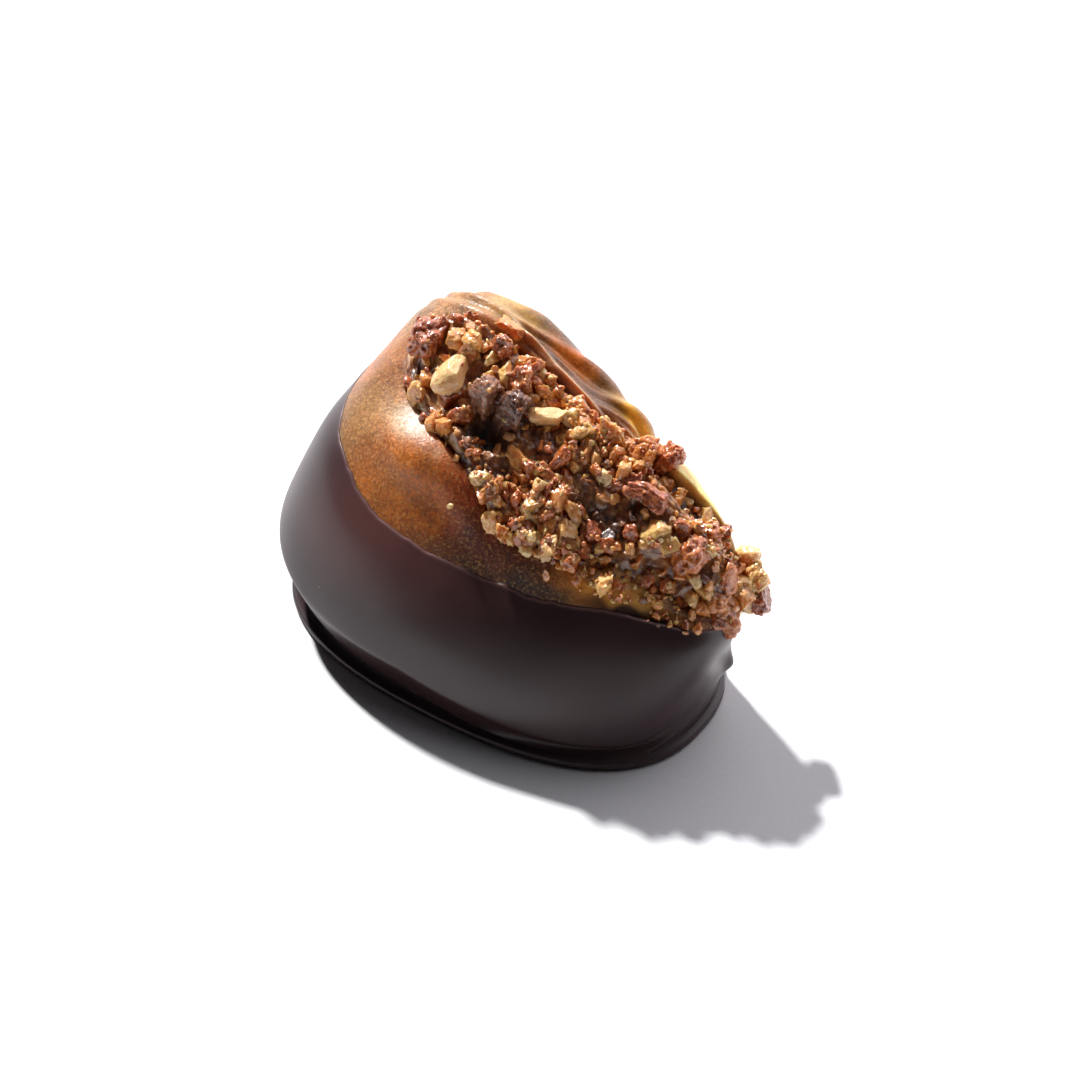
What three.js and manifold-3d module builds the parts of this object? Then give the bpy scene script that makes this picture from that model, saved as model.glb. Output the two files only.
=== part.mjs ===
// A date stuffed with chopped pecans and dipped in dark chocolate, lying slit side up.
// Millimetres. X runs along the date to its narrow nose, Y across it to the far side,
// Z up from the flat chocolate foot. The origin is on the foot, midway along it.
import * as THREE from "three";
import { mergeVertices } from "three/addons/utils/BufferGeometryUtils.js";
import Module from "manifold-3d";

// Outline of the dipped date where it is broadest, seen from above
const broadest = { x: -0.9, y: 0, height: 6.7, fall: 0.03, farRise: 0.135 };
const noseReach = 20.5;
const tailReach = 20.9;
const halfWidth = { near: 13.7, far: 10.5 };
const noseTaper = { near: 0.004, far: 0.0146 };
const outlinePower = { near: 2.23, far: 3.12 };

// Dome of the fruit above its broadest outline
const crest = { height: 21.4, fall: 0.285, curve: 0.0032, farRise: 0.4 };
const domePower = { near: 1.81, far: 3.95 };
const lean = { nose: 0.3, far: 0.065 };

// Chocolate foot on the surface below, with its thin flange and the undercut above it
const foot = { x: -1, y: -1.9, nose: 20.7, tail: 18.7, near: 11.6, far: 12.4, power: 2.4 };
const flange = { thickness: 0.9, edge: 0.3, reach: 0.6, tailExtra: 0.9 };
const undercut = 0.34;
const wallPower = 0.8;

// Dip line: heights of the chocolate every few millimetres along the date, lower on the far side
const dipFrom = -21;
const dipPitch = 7;
const dipHeights = [18.3, 17.05, 15.2, 14.1, 13.5, 13.5, 11.0];
const dipFar = { from: -3, fall: 0.02 };
const coatThickness = 0.9;
const gap = 0.3;
const bottomChocolate = 1.5;

// Skin of the date above the chocolate
const skin = { atCrest: 0.2, fadeFrom: 0.03, fadeTo: 0.8, reliefFrom: 0.05, reliefTo: 0.25 };
const bellyPower = 2.5;
const fold = { depth: 0.22, pitch: 4.6, fade: 2, wander: 0.6, wanderLength: 6, tilt: 0.5 };
const valley = { depth: 0.8, width: 1.3, x: 1.5, full: 5.4, halfLength: 10.8, beyondSlit: 1.9 };
const lip = { rise: 0.6, width: 1.6, beyondSlit: 2.2 };

// Slit along the top that holds the filling, shallower where it runs out over the nose
const slit = { x: 4.6, y: 0, halfLength: 17.6, near: 5.8, far: 5.8, power: 2.3, bow: 3.0 };
const slitDepth = { middle: 7.5, nose: 3.5, from: 8, to: 20 };
const slitCrest = { height: 20.9, fall: 0.44, curve: 0.008 };
const slitWallHeight = 9;

// Filling: a solid core heaped with chopped nut, in three grades with the largest first
const heapRise = 0.35;
const grades = [
  { count: 20, size: 3.1, sink: 0.08 },
  { count: 38, size: 2.4, sink: 0.04 },
  { count: 66, size: 1.7, sink: 0 },
];
const spill = 1.08;
const chunkFlatness = [1, 0.84, 0.7];
const chunkRoughness = 0.34;
const chunkSizeSpread = 0.3;
const triesPerChunk = 30;
const randomSeed = 20;

// Chunks that stand out beyond the heap: one on the far crown, a cluster over the nose
const outlying = [
  { x: 10.2, y: 6.6, z: 21.6, size: 3.2 },
  { x: 8.3, y: 6.4, z: 21.3, size: 2.6 },
  { x: 18.4, y: 6.4, z: 13.4, size: 3.0 },
  { x: 20.4, y: 5.4, z: 12.0, size: 3.5 },
  { x: 20.9, y: 4.6, z: 10.2, size: 2.7 },
  { x: 20.2, y: 1.0, z: 10.9, size: 3.0 },
  { x: 18.6, y: -0.2, z: 13.6, size: 3.2 },
  { x: 19.4, y: 3.2, z: 12.8, size: 3.2 },
];

const colours = { date: 0x9c5a22, chocolate: 0x3a2724, pecan: 0xa8622c };

// Facets: columns around a shape and rows from its underside to its top
const columns = 48;
const slitColumns = 32;
const rows = { belly: 9, crown: 19, floor: 4, wall: 8, outside: 8, inside: 6, slit: 6, heap: 13 };
const rowCrowding = 1.35;
const rimBevel = 0.02;

// Search and welding limits
const normalStep = 0.004;
const halvings = 24;
const closingSteps = 40;
const closingRate = 0.02;
const weldDistance = 1e-5;

const wasm = await Module();
wasm.setup();

function clamp(value, low, high) {
  return Math.min(high, Math.max(low, value));
}

function smooth(low, high, value) {
  const t = clamp((value - low) / (high - low), 0, 1);
  return t * t * (3 - 2 * t);
}

function steps(count, from, to) {
  return Array.from({ length: count }, (_, i) => from + ((to - from) * i) / (count - 1));
}

// Distance from the middle of a superellipse to its edge, for a unit direction
function superellipse(cos, sin, a, b, power) {
  return (Math.abs(cos / a) ** power + Math.abs(sin / b) ** power) ** (-1 / power);
}

function broadestOutline(angle) {
  const cos = Math.cos(angle);
  const sin = Math.sin(angle);
  const length = cos > 0 ? noseReach : tailReach;
  const side = sin > 0 ? "far" : "near";
  const reach = superellipse(cos, sin, length, halfWidth[side], outlinePower[side]);
  const x = reach * cos;
  return { x, y: reach * sin * (1 - noseTaper[side] * x) };
}

function footOutline(angle, inset, z) {
  const cos = Math.cos(angle);
  const sin = Math.sin(angle);
  const length = cos > 0 ? foot.nose : foot.tail;
  const width = sin > 0 ? foot.far : foot.near;
  const reach = superellipse(cos, sin, length, width, foot.power) - inset;
  return new THREE.Vector3(foot.x + reach * cos, foot.y + reach * sin, z);
}

// Outside of the dipped date from its broadest outline (turn 0) up to its crest (turn 1)
function dome(angle, turn) {
  const edge = broadestOutline(angle);
  const power = domePower.near + (domePower.far - domePower.near) * (0.5 + 0.5 * Math.sin(angle));
  const quarter = (Math.PI / 2) * (1 - (1 - clamp(turn, 0, 1)) ** rowCrowding);
  const inward = Math.max(0, Math.cos(quarter)) ** (2 / power);
  const upward = Math.sin(quarter) ** (2 / power);
  const x = edge.x * inward;
  const y = edge.y * inward;
  const base = broadest.height - broadest.fall * x + broadest.farRise * y;
  const top = crest.height - crest.fall * x + crest.curve * x * x + crest.farRise * y;
  const lift = (top - base) * upward;
  return new THREE.Vector3(
    broadest.x + x + lean.nose * lift, broadest.y + y + lean.far * lift, base + lift);
}

// The same surface moved out along its normal by a distance in millimetres
function swollenDome(angle, turn, distance) {
  const here = dome(angle, turn);
  if (turn >= 1) return here.add(new THREE.Vector3(0, 0, distance));
  const middle = clamp(turn, normalStep, 1 - 2 * normalStep);
  const along = dome(angle + normalStep, middle).sub(dome(angle - normalStep, middle));
  const up = dome(angle, middle + normalStep).sub(dome(angle, middle - normalStep));
  return here.add(along.cross(up).setLength(distance));
}

const dipCurve = new THREE.SplineCurve(
  dipHeights.map((height, i) => new THREE.Vector2(dipFrom + i * dipPitch, height)));

function dipLine({ x, y }) {
  const along = (x - dipFrom) / (dipPitch * (dipHeights.length - 1));
  const beyond = Math.max(0, y - dipFar.from);
  return dipCurve.getPoint(clamp(along, 0, 1)).y - dipFar.fall * beyond * beyond;
}

// How far up the dome the chocolate reaches on one side of the date
function rimTurn(angle) {
  let low = 0;
  let high = 1;
  for (let i = 0; i < halvings; i += 1) {
    const middle = (low + high) / 2;
    const point = dome(angle, middle);
    if (point.z < dipLine(point)) low = middle;
    else high = middle;
  }
  return low;
}

function slitCentre(x) {
  const along = (x - slit.x) / slit.halfLength;
  return slit.y + slit.bow * along * along;
}

// Wrinkles along the far skin
function wrinkles(point) {
  const wander = fold.wander * Math.sin(point.x / fold.wanderLength);
  const across = (2 * Math.PI * (point.y + wander + fold.tilt * point.z)) / fold.pitch;
  const farSide = smooth(slit.far - fold.fade, slit.far + fold.fade, point.y);
  return fold.depth * (1 - Math.sin(across)) * 0.5 * farSide;
}

// Hollow that runs beside the far lip of the slit
function valleyHollow(point) {
  const away = (point.y - slitCentre(point.x) - slit.far - valley.beyondSlit) / valley.width;
  const length = smooth(valley.halfLength, valley.full, Math.abs(point.x - valley.x));
  return valley.depth * Math.exp(-away * away) * length;
}

// Rise of the rolled near lip of the slit
function lipRise(point) {
  const away = (slitCentre(point.x) - slit.near - lip.beyondSlit - point.y) / lip.width;
  return lip.rise * Math.exp(-away * away);
}

// Depth of the skin's relief above the rim of the chocolate
function skinRelief(point, turn, rim) {
  const above = smooth(rim + skin.reliefFrom, rim + skin.reliefTo, turn);
  return above * (wrinkles(point) + valleyHollow(point) - lipRise(point));
}

// Skin of the date from its broadest outline up to its crest
function dateCrown(angle, turn, grow) {
  const rim = rimTurn(angle);
  const fade = smooth(rim + skin.fadeFrom, skin.fadeTo, turn);
  const inset = coatThickness + (skin.atCrest - coatThickness) * fade;
  const relief = skinRelief(dome(angle, turn), turn, rim);
  return swollenDome(angle, turn, grow - inset - relief);
}

// Underside of the date from its lowest point (rise 0) to its broadest outline (rise 1)
function dateBelly(angle, rise, grow) {
  const rim = dateCrown(angle, 0, grow);
  const quarter = (Math.PI / 2) * (1 - rise);
  const inward = Math.max(0, Math.cos(quarter)) ** (2 / bellyPower);
  const downward = Math.sin(quarter) ** (2 / bellyPower);
  const lowest = bottomChocolate - grow;
  return new THREE.Vector3(
    foot.x + (rim.x - foot.x) * inward,
    foot.y + (rim.y - foot.y) * inward,
    rim.z + (lowest - rim.z) * downward);
}

function dateProfile(angle, grow) {
  const belly = steps(rows.belly, 0, 1).map((rise) => dateBelly(angle, rise, grow));
  const crown = steps(rows.crown, 0, 1).slice(1).map((turn) => dateCrown(angle, turn, grow));
  return [...belly, ...crown];
}

// Underside and rounded edge of the flange
function flangeProfile(angle) {
  const middle = new THREE.Vector3(foot.x, foot.y, 0);
  const edge = footOutline(angle, flange.edge, 0);
  const floor = steps(rows.floor, 0, 1).map((part) => middle.clone().lerp(edge, part));
  const tip = footOutline(angle, 0, 0.4 * flange.thickness);
  const shoulder = footOutline(angle, 0.5 * flange.edge, 0.85 * flange.thickness);
  return [...floor, tip, shoulder];
}

// Chocolate wall from the inner corner of the flange (rise 0) to the broadest outline (rise 1)
function coatWall(angle, rise) {
  const tailward = 0.5 - 0.5 * Math.cos(angle);
  const corner = footOutline(angle, flange.reach + flange.tailExtra * tailward, flange.thickness);
  const edge = dome(angle, 0);
  const outward = Math.sin((rise * Math.PI) / 2) ** wallPower;
  const hollow = undercut * Math.sin(rise * Math.PI);
  return new THREE.Vector3(
    corner.x + (edge.x - corner.x) * outward - hollow * Math.cos(angle),
    corner.y + (edge.y - corner.y) * outward - hollow * Math.sin(angle),
    corner.z + (edge.z - corner.z) * rise);
}

// Outside of the coat from under its foot to the rim, over the rim and down the inside
function coatProfile(angle, grow) {
  const rim = rimTurn(angle);
  const bevel = rim - rimBevel;
  const wall = steps(rows.wall, 0, 1).map((rise) => coatWall(angle, rise));
  const outside = steps(rows.outside, 0, bevel).slice(1)
    .map((turn) => swollenDome(angle, turn, grow));
  const middle = (gap - coatThickness) / 2;
  const top = swollenDome(angle, rim, middle).add(new THREE.Vector3(0, 0, grow));
  const inside = steps(rows.inside, bevel, 0).map((turn) => dateCrown(angle, turn, gap - grow));
  const bowl = steps(rows.wall, 1, 0).slice(1).map((rise) => dateBelly(angle, rise, gap - grow));
  return [...flangeProfile(angle), ...wall, ...outside, top, ...inside, ...bowl];
}

// A spot of the slit's plan, a part of the way from its middle to its edge
function slitSpot(angle, part, inset) {
  const cos = Math.cos(angle);
  const sin = Math.sin(angle);
  const width = (sin > 0 ? slit.far : slit.near) - inset;
  const reach = superellipse(cos, sin, slit.halfLength - inset, width, slit.power) * part;
  const x = slit.x + reach * cos;
  return { x, y: slitCentre(x) + reach * sin };
}

// Height of the fruit's crest along the slit
function crestLine(x) {
  const past = x - slit.x;
  return slitCrest.height - slitCrest.fall * past - slitCrest.curve * past * past;
}

// Bowl of the slit with straight walls above, from its deepest point to its flat top
function slitProfile(angle, inset) {
  const bowl = steps(rows.slit, 0, Math.PI / 2).map((turn) => {
    const { x, y } = slitSpot(angle, Math.sin(turn), inset);
    const shallow = smooth(slitDepth.from, slitDepth.to, x);
    const depth = slitDepth.middle + (slitDepth.nose - slitDepth.middle) * shallow - inset;
    return new THREE.Vector3(x, y, crestLine(x) - depth * Math.cos(turn));
  });
  const top = [1, 0].map((part) => {
    const spot = slitSpot(angle, part, inset);
    return new THREE.Vector3(spot.x, spot.y, crestLine(slit.x) + slitWallHeight);
  });
  return [...bowl, ...top];
}

// Bends a sphere's grid of points onto profiles that run from its south to its north pole
function moulded(count, profileAt) {
  const profiles = Array.from({ length: count }, (_, i) => profileAt((2 * Math.PI * i) / count));
  const last = profiles[0].length - 1;
  const sphere = new THREE.SphereGeometry(1, count, last);
  const { position, uv } = sphere.attributes;
  for (let i = 0; i < position.count; i += 1) {
    const row = Math.round(uv.getY(i) * last);
    const atPole = row === 0 || row === last;
    const column = atPole ? 0 : Math.round(uv.getX(i) * count) % count;
    position.setXYZ(i, ...profiles[column][row]);
  }
  return solidFrom(sphere);
}

function positionsOnly(geometry) {
  geometry.deleteAttribute("normal");
  geometry.deleteAttribute("uv");
  return mergeVertices(geometry, weldDistance);
}

function solidFrom(geometry) {
  const merged = positionsOnly(geometry);
  return new wasm.Manifold(new wasm.Mesh({
    numProp: 3,
    vertProperties: new Float32Array(merged.attributes.position.array),
    triVerts: new Uint32Array(merged.index.array),
  }));
}

function seededDraw(seed) {
  let state = seed;
  return () => {
    state = (Math.imul(state, 1664525) + 1013904223) >>> 0;
    return state / 2 ** 32;
  };
}

// An angular chopped piece: a twenty-sided grain, flattened, roughened and turned at random
function chunk(place, draw) {
  const grain = positionsOnly(new THREE.IcosahedronGeometry(1, 0));
  const turn = new THREE.Quaternion().setFromEuler(
    new THREE.Euler(...[0, 1, 2].map(() => 2 * Math.PI * draw())));
  const scale = new THREE.Vector3(...chunkFlatness).multiplyScalar(place.size / 2);
  const point = new THREE.Vector3();
  const { position } = grain.attributes;
  for (let i = 0; i < position.count; i += 1) {
    const rough = 1 + chunkRoughness * (draw() - 0.5);
    point.fromBufferAttribute(position, i).multiplyScalar(rough).multiply(scale);
    point.applyQuaternion(turn).add(new THREE.Vector3(place.x, place.y, place.z));
    position.setXYZ(i, ...point);
  }
  return solidFrom(grain);
}

// Height of the dome over a spot of the plan, found by closing in on it
function domeHeight(x, y) {
  const apex = dome(0, 1);
  const wanted = Math.hypot(x - apex.x, y - apex.y);
  const bearing = Math.atan2(y - apex.y, x - apex.x);
  let angle = 0;
  let turn = 0.9;
  for (let i = 0; i < closingSteps; i += 1) {
    const point = dome(angle, turn);
    const found = Math.hypot(point.x - apex.x, point.y - apex.y);
    angle += bearing - Math.atan2(point.y - apex.y, point.x - apex.x);
    turn = clamp(turn + (found - wanted) * closingRate, 0, 1 - normalStep);
  }
  return dome(angle, turn).z;
}

// Distance from a spot to the nearest piece already placed, between their edges
function roomAt(spot, size, placed) {
  return Math.min(...placed.map((other) =>
    Math.hypot(other.x - spot.x, other.y - spot.y) - (other.size + size) / 2));
}

// Each new piece takes the roomiest of several random spots on the heap
function scatter(draw) {
  const placed = outlying.map((place) => ({ ...place }));
  for (const grade of grades) {
    for (let i = 0; i < grade.count; i += 1) {
      const spots = Array.from({ length: triesPerChunk }, () =>
        slitSpot(2 * Math.PI * draw(), Math.sqrt(draw()) * spill, grade.size / 3));
      const rooms = spots.map((spot) => roomAt(spot, grade.size, placed));
      const { x, y } = spots[rooms.indexOf(Math.max(...rooms))];
      const size = grade.size * (1 + chunkSizeSpread * (draw() - 0.5));
      placed.push({ x, y, z: domeHeight(x, y) + heapRise - grade.sink * grade.size, size });
    }
  }
  return placed;
}

function largestPiece(solid) {
  const pieces = solid.decompose();
  return pieces.reduce((most, piece) => (piece.volume() > most.volume() ? piece : most));
}

// Top of the heap's core, from a point low in the fruit up over the crest
function heapTop(angle) {
  const under = new THREE.Vector3(foot.x, foot.y, flange.thickness);
  return [under, ...steps(rows.heap, 0, 1).map((turn) => swollenDome(angle, turn, heapRise))];
}

function filling(dateAround, coatAround) {
  const draw = seededDraw(randomSeed);
  const core = moulded(slitColumns, (angle) => slitProfile(angle, gap))
    .intersect(moulded(slitColumns, heapTop));
  const heap = scatter(draw).reduce((solid, place) => solid.add(chunk(place, draw)), core);
  return largestPiece(heap.subtract(dateAround).subtract(coatAround));
}

function mesh(name, solid, color, roughness) {
  const { vertProperties, triVerts } = solid.getMesh();
  const geometry = new THREE.BufferGeometry();
  geometry.setAttribute("position", new THREE.BufferAttribute(vertProperties, 3));
  geometry.setIndex(new THREE.BufferAttribute(triVerts, 1));
  geometry.computeVertexNormals();
  const material = new THREE.MeshStandardMaterial({ color, roughness, metalness: 0 });
  const made = new THREE.Mesh(geometry, material);
  made.name = name;
  return made;
}

const wholeDate = moulded(columns, (angle) => dateProfile(angle, 0));
const grownDate = moulded(columns, (angle) => dateProfile(angle, gap));
const date = wholeDate.subtract(moulded(slitColumns, (angle) => slitProfile(angle, 0)));
const dateAround = grownDate.subtract(moulded(slitColumns, (angle) => slitProfile(angle, gap)));
const coat = moulded(columns, (angle) => coatProfile(angle, 0));
const coatAround = moulded(columns, (angle) => coatProfile(angle, gap));

const stuffedDate = new THREE.Group();
stuffedDate.add(
  mesh("date_fruit", date, colours.date, 0.45),
  mesh("chocolate_coat", coat, colours.chocolate, 0.4),
  mesh("pecan_filling", filling(dateAround, coatAround), colours.pecan, 0.5),
);

export default stuffedDate;
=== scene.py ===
"""A date stuffed with chopped pecans and dipped in dark chocolate, dressed around its frame.

Forms are worked out in millimetres, and each mesh is turned into metres when it is finished.
X runs along the date to its nose, Y across it to the far side, Z up from the chocolate foot.
"""

import logging
import math
import random
from collections.abc import Callable
from dataclasses import dataclass, field
from enum import Enum

import bmesh
import bpy
from mathutils import Euler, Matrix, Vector, noise
from mathutils.bvhtree import BVHTree
from mathutils.kdtree import KDTree


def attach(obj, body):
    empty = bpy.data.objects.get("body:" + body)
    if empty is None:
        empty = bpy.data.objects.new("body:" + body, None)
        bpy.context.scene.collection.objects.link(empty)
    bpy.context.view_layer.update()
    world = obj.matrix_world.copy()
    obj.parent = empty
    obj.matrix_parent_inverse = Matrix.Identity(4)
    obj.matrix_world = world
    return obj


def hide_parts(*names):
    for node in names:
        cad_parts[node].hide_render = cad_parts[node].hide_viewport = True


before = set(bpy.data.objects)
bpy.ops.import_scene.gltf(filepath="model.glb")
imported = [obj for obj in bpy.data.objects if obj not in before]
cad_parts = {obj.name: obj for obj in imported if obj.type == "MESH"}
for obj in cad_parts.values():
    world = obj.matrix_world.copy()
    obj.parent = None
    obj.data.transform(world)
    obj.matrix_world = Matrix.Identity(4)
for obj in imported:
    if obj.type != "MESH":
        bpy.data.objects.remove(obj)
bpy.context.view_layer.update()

MM = 0.001
BODY = "root"
LOG = logging.getLogger("stuffed_date")

WANDER_STARTS = (Vector((3.1, 0.7, 5.3)), Vector((19.2, 7.4, 2.6)), Vector((5.8, 23.5, 11.9)))
FINE_SHIFT = Vector((7, 3, 1))
DOWN = Vector((0, 0, -1))
DROP_HEIGHT = 60.0
TINY = 1e-6
WELD_DISTANCE = 1e-5
BEARING_DIGITS = 5
GRAIN_FALL = 1.5
TONE_SPREAD = 0.8
TONE_SCALE = 3.7

Form = bmesh.types.BMesh
Socket = bpy.types.NodeSocket
Place = Callable[[float, float], Vector]


def clamp(value: float, low: float, high: float) -> float:
    """Keeps a value between two limits."""
    return min(high, max(low, value))


def smooth(low: float, high: float, value: float) -> float:
    """Eases from 0 at low to 1 at high; low may be the larger of the two."""
    t = clamp((value - low) / (high - low), 0.0, 1.0)
    return t * t * (3 - 2 * t)


def lerp(start: float, end: float, part: float) -> float:
    """Goes from start to end as part goes from 0 to 1."""
    return start + (end - start) * part


def superellipse(cos: float, sin: float, a: float, b: float, power: float) -> float:
    """Distance from the middle of a superellipse to its edge, for a unit direction."""
    return (abs(cos / a) ** power + abs(sin / b) ** power) ** (-1 / power)


def ripple(point: Vector, size: float) -> float:
    """Smooth random relief between about -1 and 1 whose features have a size in millimetres."""
    return noise.noise(point / size)


def wander(point: Vector, size: float) -> Vector:
    """Smooth random shift, up to about 1 mm each way, whose features have a size in millimetres."""
    return Vector([noise.noise(point / size + start) for start in WANDER_STARTS])


def grains(point: Vector, size: float) -> float:
    """Relief of packed round grains: 1 on a grain's crown, falling to 0 between grains."""
    distances, _ = noise.voronoi(point / size)
    return 1 - min(1.0, distances[0] * GRAIN_FALL) ** 2


def grain_tone(point: Vector, size: float) -> float:
    """Random number from 0 to 1 that stays the same all over one of those grains."""
    _, crowns = noise.voronoi(point / size)
    return clamp(0.5 + TONE_SPREAD * noise.noise(crowns[0] * TONE_SCALE), 0, 1)


def through(knots: tuple[float, ...], start: float, pitch: float, x: float) -> float:
    """Smooth curve through evenly spaced heights.

    Args:
        knots: The heights.
        start: Where the first one stands along x.
        pitch: Distance from one to the next.
        x: Where the curve is read.

    Returns:
        The height there.
    """
    last = len(knots) - 1
    along = clamp((x - start) / pitch, 0, last - TINY)
    i = int(along)
    t = along - i
    here, there = knots[i], knots[i + 1]
    leave = (there - knots[max(i - 1, 0)]) / 2
    arrive = (knots[min(i + 2, last)] - here) / 2
    bend = 3 * (there - here) - 2 * leave - arrive
    return here + t * (leave + t * (bend + t * (2 * (here - there) + leave + arrive)))


def colour(red: int, green: int, blue: int) -> tuple[float, float, float, float]:
    """Turns a colour of 0 to 255, as a screen shows it, into the linear one a shader takes."""
    linear = [((c / 255 + 0.055) / 1.055) ** 2.4 if c > 10 else c / 255 / 12.92 for c in (red, green, blue)]
    return (*linear, 1.0)


@dataclass(frozen=True)
class DateForm:
    """Outside of the dipped date and its slit, with the sizes of the CAD solids."""

    broadest: tuple[float, float] = (-0.9, 6.7)
    broadest_fall: float = 0.03
    broadest_far_rise: float = 0.135
    broadest_nose_fall: float = 0.2
    broadest_nose_from: float = -2.0
    broadest_least: float = 1.6
    nose_reach: float = 20.5
    tail_reach: float = 20.9
    near_half_width: float = 13.7
    far_half_width: float = 10.5
    near_nose_taper: float = 0.004
    far_nose_taper: float = 0.0146
    near_outline_power: float = 2.23
    far_outline_power: float = 3.12
    crest_height: float = 21.4
    crest_fall: float = 0.285
    crest_curve: float = 0.0032
    crest_far_rise: float = 0.4
    near_dome_power: float = 1.81
    far_dome_power: float = 3.95
    nose_lean: float = 0.3
    far_lean: float = 0.065
    row_crowding: float = 1.35
    normal_step: float = 0.004
    dome_faces: tuple[int, int] = (160, 60)
    rim_halvings: int = 20
    dip_from: float = -21.0
    dip_pitch: float = 7.0
    dip_heights: tuple[float, ...] = (18.3, 17.05, 15.2, 14.1, 13.5, 13.5, 11.0, 4.0)
    dip_far_from: float = -3.0
    dip_far_fall: float = 0.02
    slit_x: float = 4.6
    slit_half_length: float = 17.6
    slit_half_width: float = 5.8
    slit_power: float = 2.3
    slit_bow: float = 3.0
    slit_shift_from: float = -14.0
    slit_shift_pitch: float = 4.0
    slit_shifts: tuple[float, ...] = (0.0, 0.9, 1.8, 1.3, -0.2, 0.3, 0.7, -0.6, -0.3, 0.0)

    def outline(self, angle: float) -> tuple[float, float]:
        """Broadest outline of the dipped date, seen from above.

        Args:
            angle: Bearing round the date in radians.

        Returns:
            X and y of the edge in millimetres.
        """
        cos, sin = math.cos(angle), math.sin(angle)
        length = self.nose_reach if cos > 0 else self.tail_reach
        width = self.far_half_width if sin > 0 else self.near_half_width
        power = self.far_outline_power if sin > 0 else self.near_outline_power
        taper = self.far_nose_taper if sin > 0 else self.near_nose_taper
        reach = superellipse(cos, sin, length, width, power)
        x = reach * cos
        return x, reach * sin * (1 - taper * x)

    def dome(self, angle: float, turn: float) -> Vector:
        """Outside surface above the broadest outline.

        Args:
            angle: Bearing round the date in radians.
            turn: 0 at the broadest outline, 1 at the crest.

        Returns:
            A point in millimetres.
        """
        edge_x, edge_y = self.outline(angle)
        blend = 0.5 + 0.5 * math.sin(angle)
        power = lerp(self.near_dome_power, self.far_dome_power, blend)
        quarter = (math.pi / 2) * (1 - (1 - clamp(turn, 0, 1)) ** self.row_crowding)
        inward = max(0.0, math.cos(quarter)) ** (2 / power)
        upward = math.sin(quarter) ** (2 / power)
        x, y = edge_x * inward, edge_y * inward
        base = self.broadest[1] - self.broadest_fall * x + self.broadest_far_rise * y
        near = smooth(0.0, 0.5, -math.sin(angle))
        fall = self.broadest_nose_fall * max(0.0, x - self.broadest_nose_from)
        base = lerp(base, max(self.broadest_least, base - fall), near)
        top = self.crest_height - self.crest_fall * x + self.crest_curve * x * x + self.crest_far_rise * y
        lift = (top - base) * upward
        return Vector((self.broadest[0] + x + self.nose_lean * lift, y + self.far_lean * lift, base + lift))

    def swollen(self, angle: float, turn: float, distance: float) -> Vector:
        """The dome moved out along its normal by a distance in millimetres.

        Args:
            angle: Bearing round the date in radians.
            turn: 0 at the broadest outline, 1 at the crest.
            distance: How far out it moves; a negative distance is inwards.

        Returns:
            A point in millimetres.
        """
        here = self.dome(angle, turn)
        if turn >= 1:
            return here + Vector((0, 0, distance))
        step = self.normal_step
        middle = clamp(turn, step, 1 - 2 * step)
        along = self.dome(angle + step, middle) - self.dome(angle - step, middle)
        up = self.dome(angle, middle + step) - self.dome(angle, middle - step)
        return here + along.cross(up).normalized() * distance

    def dip_line(self, x: float, y: float) -> float:
        """Height of the chocolate's rim at a place."""
        height = through(self.dip_heights, self.dip_from, self.dip_pitch, x)
        return height - self.dip_far_fall * max(0.0, y - self.dip_far_from) ** 2

    def rim_turn(self, angle: float) -> float:
        """How far up the dome the chocolate reaches on one side of the date.

        Args:
            angle: Bearing round the date in radians.

        Returns:
            0 at the broadest outline, up to 1 at the crest.
        """
        low, high = 0.0, 1.0
        for _ in range(self.rim_halvings):
            middle = (low + high) / 2
            point = self.dome(angle, middle)
            if point.z < self.dip_line(point.x, point.y):
                low = middle
            else:
                high = middle
        return low

    def slit_centre(self, x: float) -> float:
        """Where the middle line of the slit runs, across the date."""
        along = (x - self.slit_x) / self.slit_half_length
        return self.slit_bow * along * along

    def slit_wander(self, x: float) -> float:
        """How far the slit's near edge wanders in from an even oval."""
        return through(self.slit_shifts, self.slit_shift_from, self.slit_shift_pitch, x)

    def slit_spot(self, angle: float, part: float, inset: float) -> tuple[float, float]:
        """A spot of the slit's plan, a part of the way from its middle to its edge.

        Args:
            angle: Bearing round the slit's middle in radians.
            part: 0 in the middle, 1 on the edge.
            inset: How far the edge is drawn in, in millimetres.

        Returns:
            X and y of the spot in millimetres.
        """
        cos, sin = math.cos(angle), math.sin(angle)
        length, width = self.slit_half_length - inset, self.slit_half_width - inset
        reach = superellipse(cos, sin, length, width, self.slit_power) * part
        x = self.slit_x + reach * cos
        return x, self.slit_centre(x) + reach * sin + max(0.0, -sin) * part * self.slit_wander(x)

    def past_slit(self, x: float, y: float) -> float:
        """Distance in millimetres outside the slit's edge, negative inside it.

        Args:
            x: Place along the date in millimetres.
            y: Place across it in millimetres.

        Returns:
            The distance there.
        """
        dx, dy = x - self.slit_x, y - self.slit_centre(x)
        near = max(0.0, -dy) / (math.hypot(dx, dy) + TINY)
        dy -= near * self.slit_wander(x)
        reach = math.hypot(dx, dy) + TINY
        sides = self.slit_half_length, self.slit_half_width
        return reach - superellipse(dx / reach, dy / reach, *sides, self.slit_power)

    def dome_tree(self) -> BVHTree:
        """The smooth dome without its slit, as a tree that rays can be cast on.

        Returns:
            The tree, in millimetres.
        """
        solid = moulded(*self.dome_faces, lambda angle, height: self.dome(angle, max(0.0, 2 * height - 1)))
        tree = BVHTree.FromBMesh(solid)
        solid.free()
        return tree


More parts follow.
